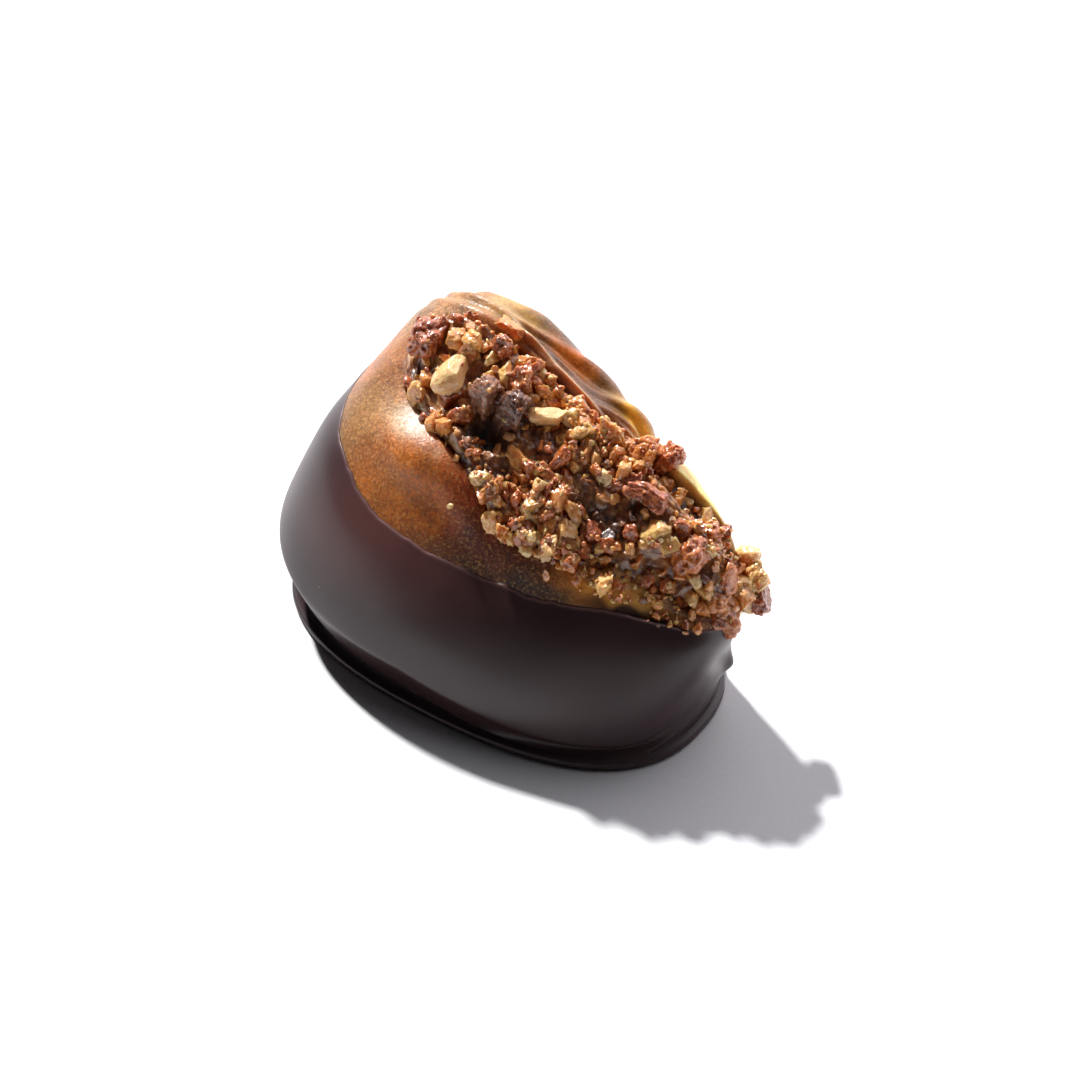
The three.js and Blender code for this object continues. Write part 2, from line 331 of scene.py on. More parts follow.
@dataclass(frozen=True)
class Patch:
    """A soft round or oval area of the top of the date, seen from above, in millimetres."""

    x: float
    y: float
    length: float
    width: float
    turn: float = 0.0

    def cover(self, x: float, y: float) -> float:
        """How fully the patch covers a spot, from 0 to 1.

        Args:
            x: Place along the date in millimetres.
            y: Place across it in millimetres.

        Returns:
            1 in the middle, falling softly to 0.
        """
        dx, dy = x - self.x, y - self.y
        cos, sin = math.cos(self.turn), math.sin(self.turn)
        along, across = dx * cos + dy * sin, dy * cos - dx * sin
        return math.exp(-((along / self.length) ** 2) - (across / self.width) ** 2)


def piled(patches: tuple[tuple[Patch, float], ...], x: float, y: float) -> float:
    """Adds up the heights that patches give a spot."""
    return sum(height * patch.cover(x, y) for patch, height in patches)


def layers(form: Form, *names: str) -> list:
    """Adds attributes to the vertices of a bmesh."""
    return [form.verts.layers.float.new(name) for name in names]


def moulded(columns: int, rows: int, place: Place) -> Form:
    """Rolls a grid up into a closed form whose first and last rows meet in its poles.

    Args:
        columns: Faces round the form.
        rows: Faces from its underside to its top.
        place: Gives the point in millimetres for a bearing and a height from 0 to 1.

    Returns:
        A bmesh in millimetres with its faces pointing outwards.
    """
    form = bmesh.new()
    bmesh.ops.create_grid(form, x_segments=columns, y_segments=rows, size=0.5)
    for vert in form.verts:
        part = round((vert.co.x + 0.5) * columns) % columns
        vert.co = place(2 * math.pi * part / columns, vert.co.y + 0.5)
    bmesh.ops.remove_doubles(form, verts=form.verts, dist=WELD_DISTANCE)
    bmesh.ops.recalc_face_normals(form, faces=form.faces)
    return form


def finished(form: Form, name: str, material: bpy.types.Material) -> bpy.types.Object:
    """Turns a bmesh in millimetres into a smooth-shaded object in metres, placed in its mesh.

    Args:
        form: The bmesh, which is used up.
        name: Name of the object and its mesh.
        material: What it is made of.

    Returns:
        The object, linked to the scene.
    """
    bmesh.ops.scale(form, vec=Vector((MM, MM, MM)), verts=form.verts)
    mesh = bpy.data.meshes.new(name)
    form.to_mesh(mesh)
    form.free()
    mesh.shade_smooth()
    mesh.materials.append(material)
    made = bpy.data.objects.new(name, mesh)
    bpy.context.scene.collection.objects.link(made)
    return made


def dressed(piece: bpy.types.Object, node: str | None = None) -> bpy.types.Object:
    """Declares a piece to the frame.

    Args:
        piece: The finished object.
        node: The CAD node it stands for, if it replaces one.

    Returns:
        The same object.
    """
    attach(piece, BODY)
    if node:
        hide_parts(node)
    LOG.info("%s has %d faces", piece.name, len(piece.data.polygons))
    return piece


class Graph:
    """Adds and links the nodes of one material."""

    def __init__(self, name: str) -> None:
        """Starts a material with one principled shader.

        Args:
            name: Name of the material.
        """
        self.material = bpy.data.materials.new(name)
        self.material.use_nodes = True
        self.tree = self.material.node_tree
        self.tree.nodes.clear()
        output = self.node("ShaderNodeOutputMaterial")
        self.shader = self.node("ShaderNodeBsdfPrincipled")
        self.link(self.shader.outputs["BSDF"], output.inputs["Surface"])
        self.place = self.node("ShaderNodeTexCoord").outputs["Object"]

    def node(self, kind: str, **properties: object) -> bpy.types.Node:
        """Adds a node and sets its properties.

        Args:
            kind: Type of the node.
            **properties: What is set on it.

        Returns:
            The node.
        """
        made = self.tree.nodes.new(kind)
        for key, value in properties.items():
            setattr(made, key, value)
        return made

    def link(self, source: Socket, target: Socket) -> None:
        """Links an output to an input."""
        self.tree.links.new(source, target)

    def feed(self, value: object, target: Socket) -> None:
        """Links a socket to an input, or sets the input to a plain value.

        Args:
            value: A socket or a plain value.
            target: The input it goes to.
        """
        if isinstance(value, Socket):
            self.link(value, target)
        else:
            target.default_value = value

    def set(self, **values: object) -> None:
        """Feeds inputs of the shader, named with underscores for spaces."""
        for key, value in values.items():
            self.feed(value, self.shader.inputs[key.replace("_", " ")])

    def attribute(self, name: str, output: str = "Fac") -> Socket:
        """Reads an attribute that is painted on the mesh."""
        made = self.node("ShaderNodeAttribute", attribute_name=name, attribute_type="GEOMETRY")
        return made.outputs[output]

    def clouds(self, size: float, detail: float = 2.0, roughness: float = 0.5) -> Socket:
        """Noise whose features have a size in millimetres.

        Args:
            size: Size of the largest features.
            detail: How many finer layers there are.
            roughness: How strong the finer layers are.

        Returns:
            A socket from 0 to 1.
        """
        made = self.node("ShaderNodeTexNoise")
        made.inputs["Scale"].default_value = 1 / (size * MM)
        made.inputs["Detail"].default_value = detail
        made.inputs["Roughness"].default_value = roughness
        self.link(self.place, made.inputs["Vector"])
        return made.outputs["Fac"]

    def cells(self, size: float, output: str = "Distance") -> Socket:
        """Packed cells of a size in millimetres.

        Args:
            size: Usual size of a cell.
            output: Which output of the node is read.

        Returns:
            That output.
        """
        made = self.node("ShaderNodeTexVoronoi")
        made.inputs["Scale"].default_value = 1 / (size * MM)
        self.link(self.place, made.inputs["Vector"])
        return made.outputs[output]

    def remap(self, value: Socket, low: float, high: float, start: float = 0.0, end: float = 1.0) -> Socket:
        """Stretches the range from low to high to the one from start to end, and clamps it.

        Args:
            value: The socket that is stretched.
            low: Value that becomes start.
            high: Value that becomes end.
            start: Result at low.
            end: Result at high.

        Returns:
            The clamped result.
        """
        made = self.node("ShaderNodeMapRange", clamp=True)
        self.link(value, made.inputs["Value"])
        for key, number in (("From Min", low), ("From Max", high), ("To Min", start), ("To Max", end)):
            made.inputs[key].default_value = number
        return made.outputs["Result"]

    def maths(self, operation: str, first: object, second: object) -> Socket:
        """Joins two numbers by an operation.

        Args:
            operation: Name of the operation.
            first: A socket or a number.
            second: A socket or a number.

        Returns:
            The result.
        """
        made = self.node("ShaderNodeMath", operation=operation)
        self.feed(first, made.inputs[0])
        self.feed(second, made.inputs[1])
        return made.outputs[0]

    def mixed(self, factor: object, first: object, second: object, blend: str = "MIX") -> Socket:
        """Mixes two colours.

        Args:
            factor: Share of the second colour.
            first: A socket or a colour.
            second: A socket or a colour.
            blend: How the second one is laid on.

        Returns:
            The mixed colour.
        """
        made = self.node("ShaderNodeMix", data_type="RGBA", blend_type=blend)
        self.feed(factor, made.inputs["Factor"])
        self.feed(first, made.inputs["A"])
        self.feed(second, made.inputs["B"])
        return made.outputs["Result"]

    def ramp(self, value: Socket, stops: tuple) -> Socket:
        """Turns a number into a colour along a row of stops.

        Args:
            value: The number.
            stops: Rows of a position from 0 to 1 and its colour.

        Returns:
            The colour.
        """
        made = self.node("ShaderNodeValToRGB")
        elements = made.color_ramp.elements
        while len(elements) < len(stops):
            elements.new(1.0)
        for element, (position, tone) in zip(elements, stops):
            element.position = position
            element.color = tone
        self.link(value, made.inputs["Fac"])
        return made.outputs["Color"]

    def bump(self, height: Socket, depth: float, strength: float = 1.0,
             under: Socket | None = None) -> Socket:
        """Relief of a depth in millimetres, laid over another relief if one is given.

        Args:
            height: The relief, from 0 to 1.
            depth: Depth of the relief.
            strength: How much of it shows.
            under: The relief it lies over.

        Returns:
            The bent normal.
        """
        made = self.node("ShaderNodeBump")
        made.inputs["Distance"].default_value = depth * MM
        made.inputs["Strength"].default_value = strength
        self.link(height, made.inputs["Height"])
        if under is not None:
            self.link(under, made.inputs["Normal"])
        return made.outputs["Normal"]


@dataclass(frozen=True)
class FruitFinish:
    """Translucent date skin: painted amber zones under a fine sugary grain, smooth where it is wet."""

    mottle_size: float = 2.6
    mottle_tones: tuple[float, float] = (0.68, 1.25)
    speckle_size: float = 0.28
    speckle_tones: tuple[float, float] = (0.66, 1.34)
    frost: tuple = colour(240, 184, 112)
    frost_share: float = 0.34
    dry_roughness: float = 0.42
    wet_roughness: float = 0.16
    coat_weights: tuple[float, float] = (0.32, 0.6)
    coat_roughness: float = 0.2
    scatter_radius: tuple = (1.0, 0.4, 0.14)
    scatter_reach: float = 1.4
    wave_size: float = 1.1
    wave_depth: float = 0.1
    grain_size: float = 0.26
    grain_depth: float = 0.12
    crystal_size: float = 0.2
    crystal_depth: float = 0.05

    def material(self) -> bpy.types.Material:
        """Builds the material.

        Returns:
            The finished material.
        """
        graph = Graph("date_skin")
        tint = graph.attribute("tint", "Color")
        wet = graph.attribute("wet")
        dry = graph.maths("SUBTRACT", 1.0, wet)
        mottle = graph.remap(graph.clouds(self.mottle_size, 4.0), 0.3, 0.7, *self.mottle_tones)
        speckle = graph.remap(graph.clouds(self.speckle_size, 2.0), 0.3, 0.7, *self.speckle_tones)
        toned = graph.mixed(dry, graph.mixed(1.0, tint, mottle, "MULTIPLY"), speckle, "MULTIPLY")
        sugar = graph.remap(graph.clouds(self.grain_size, 2.0, 0.6), 0.52, 0.68)
        frosting = graph.maths("MULTIPLY", graph.maths("MULTIPLY", sugar, dry), self.frost_share)
        graph.set(
            Base_Color=graph.mixed(frosting, toned, self.frost),
            Roughness=graph.remap(wet, 0.0, 1.0, self.dry_roughness, self.wet_roughness),
            Subsurface_Weight=0.5,
            Subsurface_Radius=self.scatter_radius,
            Subsurface_Scale=self.scatter_reach * MM,
            Coat_Weight=graph.remap(wet, 0.0, 1.0, *self.coat_weights),
            Coat_Roughness=self.coat_roughness,
            Specular_IOR_Level=0.3,
        )
        dried = graph.remap(wet, 0.0, 1.0, 1.0, 0.25)
        grain = graph.maths("MULTIPLY", graph.clouds(self.grain_size, 3.0, 0.7), dried)
        waves = graph.bump(graph.clouds(self.wave_size, 3.0), self.wave_depth, 0.5)
        crystals = graph.clouds(self.crystal_size, 2.0, 0.6)
        graph.set(
            Normal=graph.bump(grain, self.grain_depth, 1.0, waves),
            Coat_Normal=graph.bump(crystals, self.crystal_depth, 1.0, waves),
        )
        return graph.material


@dataclass(frozen=True)
class ChocolateFinish:
    """Satin dark chocolate with faint cloudiness, pale dust specks, pin holes painted dark with shade, and a
    lighter, redder patch of painted sunlight.
    """

    base: tuple = colour(44, 28, 30)
    cloud: tuple = colour(58, 36, 38)
    cloud_size: float = 7.0
    # Painted light: the lighter, redder colour of the sunlit patch on the upper near side.
    thin: tuple = colour(108, 68, 64)
    thin_edge: tuple = colour(108, 76, 74)
    speck: tuple = colour(150, 120, 105)
    speck_spacing: float = 1.7
    # Painted shade: the near-black colour inside the pin holes.
    hole: tuple = colour(14, 10, 10)
    hole_spacing: float = 3.1
    hole_depth: float = 0.08
    satin_size: float = 3.0
    satin_change: tuple[float, float] = (-0.02, 0.04)

    def dots(self, graph: Graph, spacing: float, radius: float, share: float) -> Socket:
        """Small round dots with a spacing in millimetres, a radius as a part of it and a share left out."""
        chosen = graph.remap(graph.cells(spacing, "Color"), share, share + 0.01)
        return graph.maths("MULTIPLY", graph.remap(graph.cells(spacing), radius, 0.03), chosen)

    def material(self) -> bpy.types.Material:
        """Builds the material.

        Returns:
            The finished material.
        """
        graph = Graph("dark_chocolate")
        specks = self.dots(graph, self.speck_spacing, 0.06, 0.86)
        holes = self.dots(graph, self.hole_spacing, 0.05, 0.7)
        tone = graph.mixed(graph.clouds(self.cloud_size, 0.0), self.base, self.cloud)
        # Painted light: the sunlit patch, kept in the thin attribute, is mixed in here.
        tone = graph.mixed(graph.attribute("thin"), tone, self.thin)
        tone = graph.mixed(graph.maths("MULTIPLY", specks, 0.6), tone, self.speck)
        # Painted shade in the pin holes.
        tone = graph.mixed(holes, tone, self.hole)
        satin = graph.remap(graph.clouds(self.satin_size, 0.0), 0.0, 1.0, *self.satin_change)
        graph.set(
            Base_Color=graph.mixed(graph.attribute("edge"), tone, self.thin_edge),
            Roughness=graph.maths("ADD", graph.attribute("dull"), satin),
            Specular_IOR_Level=0.5,
            IOR=1.5,
            Normal=graph.bump(holes, -self.hole_depth),
        )
        return graph.material


@dataclass(frozen=True)
class SyrupFilm:
    """What the paste and the pieces share: light sinks into the nut under a glossy film of syrup."""

    roughness: float = 0.23
    ior: float = 1.7

    def cover(self, graph: Graph, weight: float, size: float, detail: float, depth: float) -> None:
        """Lays the film on a material, with ripples of a size and depth in millimetres."""
        ripples = graph.bump(graph.clouds(size, detail), depth)
        graph.set(Coat_Weight=weight, Coat_Roughness=self.roughness, Coat_IOR=self.ior, Coat_Normal=ripples)


@dataclass(frozen=True)
class PasteFinish:
    """Sticky mass of fine nut crumb and date syrup between the larger pieces."""

    stops: tuple = (
        (0.3, colour(84, 36, 14)),
        (0.45, colour(142, 70, 24)),
        (0.58, colour(188, 112, 42)),
        (0.72, colour(222, 160, 84)),
        (0.86, colour(242, 204, 146)),
    )
    patch_size: float = 0.6
    syrup: tuple = colour(178, 116, 40)
    syrup_share: float = 0.55
    scatter_radius: tuple = (1.0, 0.65, 0.35)
    scatter_reach: float = 0.6
    crumb_size: float = 0.2
    crumb_depth: float = 0.1

    def material(self) -> bpy.types.Material:
        """Builds the material.

        Returns:
            The finished material.
        """
        graph = Graph("pecan_paste")
        own = graph.maths("MULTIPLY", graph.attribute("tone"), 0.55)
        patchy = graph.maths("MULTIPLY", graph.clouds(self.patch_size, 5.0, 0.68), 0.6)
        tone = graph.ramp(graph.maths("ADD", own, patchy), self.stops)
        flooded = graph.maths("MULTIPLY", graph.attribute("syrup"), self.syrup_share)
        tone = graph.mixed(flooded, tone, self.syrup)
        # The shade attribute is painted shade, multiplied into the colour.
        graph.set(
            Base_Color=graph.mixed(1.0, tone, graph.attribute("shade"), "MULTIPLY"),
            Roughness=0.4,
            Subsurface_Weight=0.55,
            Subsurface_Radius=self.scatter_radius,
            Subsurface_Scale=self.scatter_reach * MM,
            Normal=graph.bump(graph.clouds(self.crumb_size, 4.0, 0.7), self.crumb_depth),
        )
        SyrupFilm().cover(graph, 1.0, 0.45, 2.0, 0.07)
        return graph.material


class NutKind(Enum):
    """Kinds of chopped pecan piece: name, darker, main and lighter tone, film and grain depth."""

    PALE = ("pecan_pale", colour(190, 116, 56), colour(236, 172, 96), colour(252, 208, 146), 0.7, 0.05)
    GOLDEN = ("pecan_golden", colour(174, 84, 26), colour(230, 142, 58), colour(248, 190, 110), 0.9, 0.06)
    TOFFEE = ("pecan_toffee", colour(128, 52, 14), colour(208, 110, 36), colour(240, 160, 76), 1.0, 0.06)
    SKIN = ("pecan_skin", colour(126, 54, 20), colour(192, 98, 38), colour(226, 150, 80), 1.0, 0.06)
    DARK = ("pecan_dark", colour(46, 22, 14), colour(104, 56, 34), colour(170, 112, 76), 0.8, 0.07)

    @property
    def label(self) -> str:
        """Name of the piece and its material."""
        return self.value[0]


PALE, GOLDEN, TOFFEE, SKIN, DARK = NutKind


@dataclass(frozen=True)
class NutFinish:
    """Chopped pecan with a rough grain and a sticky film over part of it."""

    kind: NutKind
    blotch_size: float = 0.55
    scatter_radius: tuple = (1.0, 0.88, 0.7)
    scatter_reach: float = 0.7
    crack_size: float = 0.34
    crack_depth: float = 2.4
    grain_size: float = 0.17

    def material(self) -> bpy.types.Material:
        """Builds the material.

        Returns:
            The finished material.
        """
        label, dark, main, light, film, depth = self.kind.value
        graph = Graph(label)
        own = graph.maths("MULTIPLY", graph.attribute("shade"), 0.5)
        blotch = graph.maths("ADD", graph.clouds(self.blotch_size, 5.0, 0.65), own)
        cracks = graph.bump(graph.clouds(self.crack_size, 4.0, 0.7), depth * self.crack_depth)
        graph.set(
            Base_Color=graph.ramp(blotch, ((0.4, dark), (0.7, main), (0.95, light))),
            Roughness=graph.remap(graph.clouds(0.5, 2.0), 0.4, 0.6, 0.25, 0.6),
            Subsurface_Weight=0.6,
            Subsurface_Radius=self.scatter_radius,
            Subsurface_Scale=self.scatter_reach * MM,
            Normal=graph.bump(graph.cells(self.grain_size), depth, 0.9, cracks),
        )
        SyrupFilm().cover(graph, film, 0.4, 1.0, 0.05)
        return graph.material


@dataclass
class Fruit:
    """The date itself: its dome with the slit pressed into it, and its painted zones."""

    form: DateForm
    columns: int = 420
    rows: int = 220
    belly_share: float = 0.06
    coat_thickness: float = 0.9
    skin_at_crest: float = 0.2
    lowest: float = 1.5
    middle: tuple[float, float] = (-1.0, -1.9)
    belly_power: float = 2.5
    skin_at_rim: float = 0.34
    painted_above: float = 9.0
    trench: float = 1.8
    trench_far_share: float = 0.65
    trench_bare_share: float = 0.8
    trench_ends: tuple[float, float] = (-1.6, -0.9)
    torn_depth: float = 0.5
    torn_wave: float = 0.4
    torn_grains: tuple = ((0.4, 0.9), (0.2, 0.45))
    fold_pitch: float = 1.5
    fold_depth: float = 0.34
    fold_slope: float = 0.45
    fold_wander: float = 0.8
    skin_waves: tuple = ((0.16, 4.5), (0.05, 1.4))
    far_lip_rise: float = 0.6
    far_lip_width: float = 0.26
    lip_rise: float = 0.45
    lip_width: float = 1.5
    lip_past_slit: float = 2.0
    swellings: tuple = (
        (Patch(-6.4, -4.8, 4.2, 2.0, 0.1), 1.0),
        (Patch(-7.8, -0.6, 3.8, 2.5), -1.1),
        (Patch(-10.5, 7.4, 5.5, 3.0), 0.9),
        (Patch(8.9, 7.4, 1.7, 1.8), -1.6),
    )
    lobe: Patch = Patch(14.0, -4.4, 3.6, 0.65, 0.41)
    lobe_rise: float = 0.4
    valley: Patch = Patch(0.5, 8.0, 7.5, 1.1, -0.12)
    valley_depth: float = 0.8
    bare_flesh: Patch = Patch(12.8, -4.1, 4.2, 1.9, 0.35)
    crevice: Patch = Patch(16.4, -4.4, 2.6, 2.0, 0.4)
    rims: dict[float, float] = field(default_factory=dict)

    def rim(self, angle: float) -> float:
        """How far up the dome the chocolate reaches, remembered for each bearing.

        Args:
            angle: Bearing round the date in radians.

        Returns:
            0 at the broadest outline, up to 1 at the crest.
        """
        key = round(angle, BEARING_DIGITS)
        if key not in self.rims:
            self.rims[key] = self.form.rim_turn(angle)
        return self.rims[key]

    def far_lip(self, x: float) -> float:
        """Where the thin far lip of the slit runs, across the date."""
        return max(6.3 - 0.2 * x, 5.2)

    def on_far_lip(self, x: float, y: float) -> float:
        """How near a spot is to the crest of the thin far lip, from 0 to 1."""
        off = (y - self.far_lip(x)) / self.far_lip_width
        return math.exp(-off * off) * smooth(-8.0, -4.0, x) * smooth(8.5, 6.0, x)

    def swell(self, x: float, y: float) -> float:
        """How far the date bulges out of the smooth dome, in millimetres."""
        return piled(self.swellings, x, y)

    def slit_wall(self, past: float, from_centre: float, bare: float) -> float:
        """Depth of the slit, whose far wall is steeper and lower than its near one.

        Args:
            past: Distance outside the slit's edge, negative inside it.
            from_centre: Distance from the slit's middle line, positive on the far side.
            bare: How far the flesh is bare there, from 0 to 1.

        Returns:
            The depth in millimetres.
        """
        far_side = smooth(0.0, 2.0, from_centre)
        drop = self.trench * smooth(0.2, lerp(*self.trench_ends, far_side), past)
        return drop * (1 - self.trench_bare_share * bare) * lerp(1, self.trench_far_share, far_side)

    def torn(self, point: Vector) -> float:
        """Depth of the torn flesh, uneven and with round grains of two sizes.

        Args:
            point: A point of the smooth dome in millimetres.

        Returns:
            The depth in millimetres.
        """
        depth = self.torn_depth + self.torn_wave * ripple(point, 1.6)
        for height, size in self.torn_grains:
            depth -= height * grains(point, size)
        return depth

    def folds(self, point: Vector, past: float, from_centre: float) -> float:
        """Height of the wrinkles that run along the far skin.

        Args:
            point: A point of the smooth dome in millimetres.
            past: Distance outside the slit's edge, negative inside it.
            from_centre: Distance from the slit's middle line, positive on the far side.

        Returns:
            The height in millimetres, negative in a furrow.
        """
        far = smooth(2.5, 6.0, from_centre) * smooth(-0.2, 0.8, past) * smooth(10.0, 7.0, point.x)
        across = point.y + self.fold_slope * point.z + self.fold_wander * ripple(point, 6.0)
        swing = math.sin(2 * math.pi * across / self.fold_pitch)
        return self.fold_depth * far * (0.5 + 0.5 * ripple(point, 3.0)) * swing

    def near_lip(self, x: float, past: float, from_centre: float) -> float:
        """Height of the rolled lip along the near side of the slit."""
        near = smooth(1.0, -1.0, from_centre) * smooth(-6.0, -1.0, x)
        return near * self.lip_rise * math.exp(-((past - self.lip_past_slit) / self.lip_width) ** 2)

    def relief(self, point: Vector) -> float:
        """Depth of the skin below the smooth dome, in millimetres.

        Args:
            point: A point of the smooth dome in millimetres.

        Returns:
            The depth, negative where the skin stands higher.
        """
        x, y = point.x, point.y
        past = self.form.past_slit(x, y)
        from_centre = y - self.form.slit_centre(x)
        bare = min(1.0, 1.4 * self.bare_flesh.cover(x, y))
        depth = self.slit_wall(past, from_centre, bare) + bare * self.torn(point)
        depth += self.valley_depth * self.valley.cover(x, y) - self.lobe_rise * self.lobe.cover(x, y)
        depth -= self.folds(point, past, from_centre) + self.far_lip_rise * self.on_far_lip(x, y)
        depth -= self.near_lip(x, past, from_centre) + self.swell(x, y)
        for height, size in self.skin_waves:
            depth += height * ripple(point, size)
        return depth

    def crown(self, angle: float, turn: float) -> Vector:
        """A point of the skin above the broadest outline.

        Args:
            angle: Bearing round the date in radians.
            turn: 0 at the broadest outline, 1 at the crest.

        Returns:
            A point in millimetres.
        """
        rim = self.rim(angle)
        point = self.form.dome(angle, turn)
        at_rim = lerp(self.skin_at_rim, self.coat_thickness, self.crevice.cover(point.x, point.y))
        inset = lerp(at_rim, self.skin_at_crest, smooth(rim, 0.8, turn))
        inset = lerp(self.coat_thickness, inset, smooth(rim - 0.12, rim - 0.01, turn))
        above = smooth(rim + 0.02, rim + 0.18, turn)
        return self.form.swollen(angle, turn, -inset - above * self.relief(point))

    def place(self, angle: float, height: float) -> Vector:
        """A point of the fruit for a bearing and a height from 0, underneath, to 1, on the crest.

        Args:
            angle: Bearing round the date in radians.
            height: From 0 underneath to 1 on the crest.

        Returns:
            A point in millimetres.
        """
        if height >= self.belly_share:
            return self.crown(angle, (height - self.belly_share) / (1 - self.belly_share))
        edge = self.crown(angle, 0.0)
        quarter = (math.pi / 2) * (1 - height / self.belly_share)
        inward = max(0.0, math.cos(quarter)) ** (2 / self.belly_power)
        downward = math.sin(quarter) ** (2 / self.belly_power)
        x, y = self.middle
        return Vector((lerp(x, edge.x, inward), lerp(y, edge.y, inward), lerp(edge.z, self.lowest, downward)))

    def mesh(self) -> Form:
        """Moulds the fruit and paints its tint and wetness.

        Returns:
            The fruit in millimetres.
        """
        form = moulded(self.columns, self.rows, self.place)
        tint = form.verts.layers.float_color.new("tint")
        wet, = layers(form, "wet")
        paint = FruitPaint(self.form, self)
        for vert in form.verts:
            if vert.co.z > self.painted_above:
                vert[tint] = paint.tone(vert.co)
                vert[wet] = paint.wetness(vert.co)
        return form


@dataclass(frozen=True)
class FruitPaint:
    """Where the date's skin is golden, caramel, deep red, bloomed or mauve, with painted highlights, a
    painted glow of light through the far skin and painted shade down into the slit.
    """

    form: DateForm
    fruit: Fruit
    base: tuple = colour(176, 92, 30)
    # Painted highlight along the crest of the far lip.
    lip: tuple = colour(232, 196, 160)
    # Painted shade: the dark colour the skin turns to down into the slit.
    inside: tuple = colour(70, 30, 18)
    drift: float = 0.7
    zones: tuple = (
        (Patch(-15.0, -3.5, 3.5, 5.0), colour(128, 84, 30), 0.9),
        (Patch(-12.0, 7.0, 6.0, 4.0), colour(166, 126, 88), 0.9),
        # Painted highlights: these three pale zones paint where the key light glints on the near shoulder.
        (Patch(-10.0, -2.4, 3.4, 1.8, -0.1), colour(204, 158, 108), 0.75),
        (Patch(-8.3, -2.5, 1.8, 1.2, -0.1), colour(232, 212, 190), 0.7),
        (Patch(-5.1, -4.6, 0.7, 0.4), colour(214, 180, 146), 0.6),
        (Patch(-7.0, -6.8, 4.5, 2.2, 0.1), colour(186, 108, 36), 0.8),
        (Patch(-1.5, -6.2, 3.4, 2.0, 0.0), colour(148, 52, 14), 0.9),
        (Patch(-4.2, -6.9, 2.2, 1.6), colour(206, 112, 34), 0.75),
        (Patch(0.8, -7.0, 2.0, 1.2), colour(98, 40, 20), 0.8),
        (Patch(4.6, -6.0, 4.0, 1.0, 0.1), colour(92, 34, 18), 0.9),
        (Patch(0.5, -8.6, 6.0, 1.0, 0.12), colour(104, 66, 42), 0.85),
        (Patch(6.8, -7.2, 5.0, 1.0, 0.14), colour(88, 66, 58), 1.0),
        (Patch(-1.0, 9.0, 7.0, 2.6, -0.1), colour(86, 54, 28), 0.95),
        (Patch(-0.9, 8.3, 2.0, 1.2), colour(196, 104, 30), 0.9),
        (Patch(-6.4, 8.7, 2.6, 1.4), colour(218, 174, 106), 0.8),
        # Painted glow: these two yellow zones paint the key light shining through the thin far skin.
        (Patch(6.5, 7.6, 2.0, 0.9, -0.3), colour(244, 188, 62), 1.0),
        (Patch(14.0, 6.6, 5.5, 1.5, -0.12), colour(254, 220, 126), 1.0),
        (Patch(12.5, 3.6, 5.5, 1.1, -0.1), colour(150, 108, 90), 0.9),
        (Patch(1.5, 6.6, 6.0, 0.9, -0.2), colour(106, 72, 50), 0.9),
        (Patch(10.0, -4.0, 2.6, 1.4, 0.2), colour(236, 160, 74), 0.9),
        (Patch(13.2, -3.1, 4.0, 1.8, 0.25), colour(250, 184, 94), 0.95),
        (Patch(14.0, -4.5, 3.9, 0.65, 0.41), colour(78, 54, 44), 1.0),
    )

    def tone(self, point: Vector) -> tuple[float, float, float, float]:
        """Blends the zones over the base colour at a point in millimetres.

        Args:
            point: A point of the skin in millimetres.

        Returns:
            The colour, linear.
        """
        x = point.x + self.drift * ripple(point, 1.6)
        y = point.y + self.drift * ripple(point + Vector((9, 0, 0)), 1.6)
        here = Vector(self.base)
        for patch, tone, strength in self.zones:
            here = here.lerp(Vector(tone), strength * min(1.0, 1.3 * patch.cover(x, y)))
        # Painted highlight: the crest of the far lip is lightened towards the lip colour.
        here = here.lerp(Vector(self.lip), 0.7 * self.fruit.on_far_lip(point.x, point.y))
        # Painted shade: the skin darkens down into the slit, except where the flesh is bare.
        deep = smooth(0.4, -1.2, self.form.past_slit(point.x, point.y))
        shown = 1 - self.fruit.bare_flesh.cover(x, y)
        return tuple(here.lerp(Vector(self.inside), 0.8 * deep * shown))

    def wetness(self, point: Vector) -> float:
        """How wet and smooth the skin is, from 0 where it is sugary to 1.

        Args:
            point: A point of the skin in millimetres.

        Returns:
            The wetness.
        """
        far = smooth(2.0, 5.0, point.y - self.form.slit_centre(point.x))
        tail = smooth(-12.0, -6.0, point.x)
        bare = self.fruit.bare_flesh.cover(point.x, point.y)
        return clamp(0.6 * far * tail + 1.2 * bare, 0, 1)


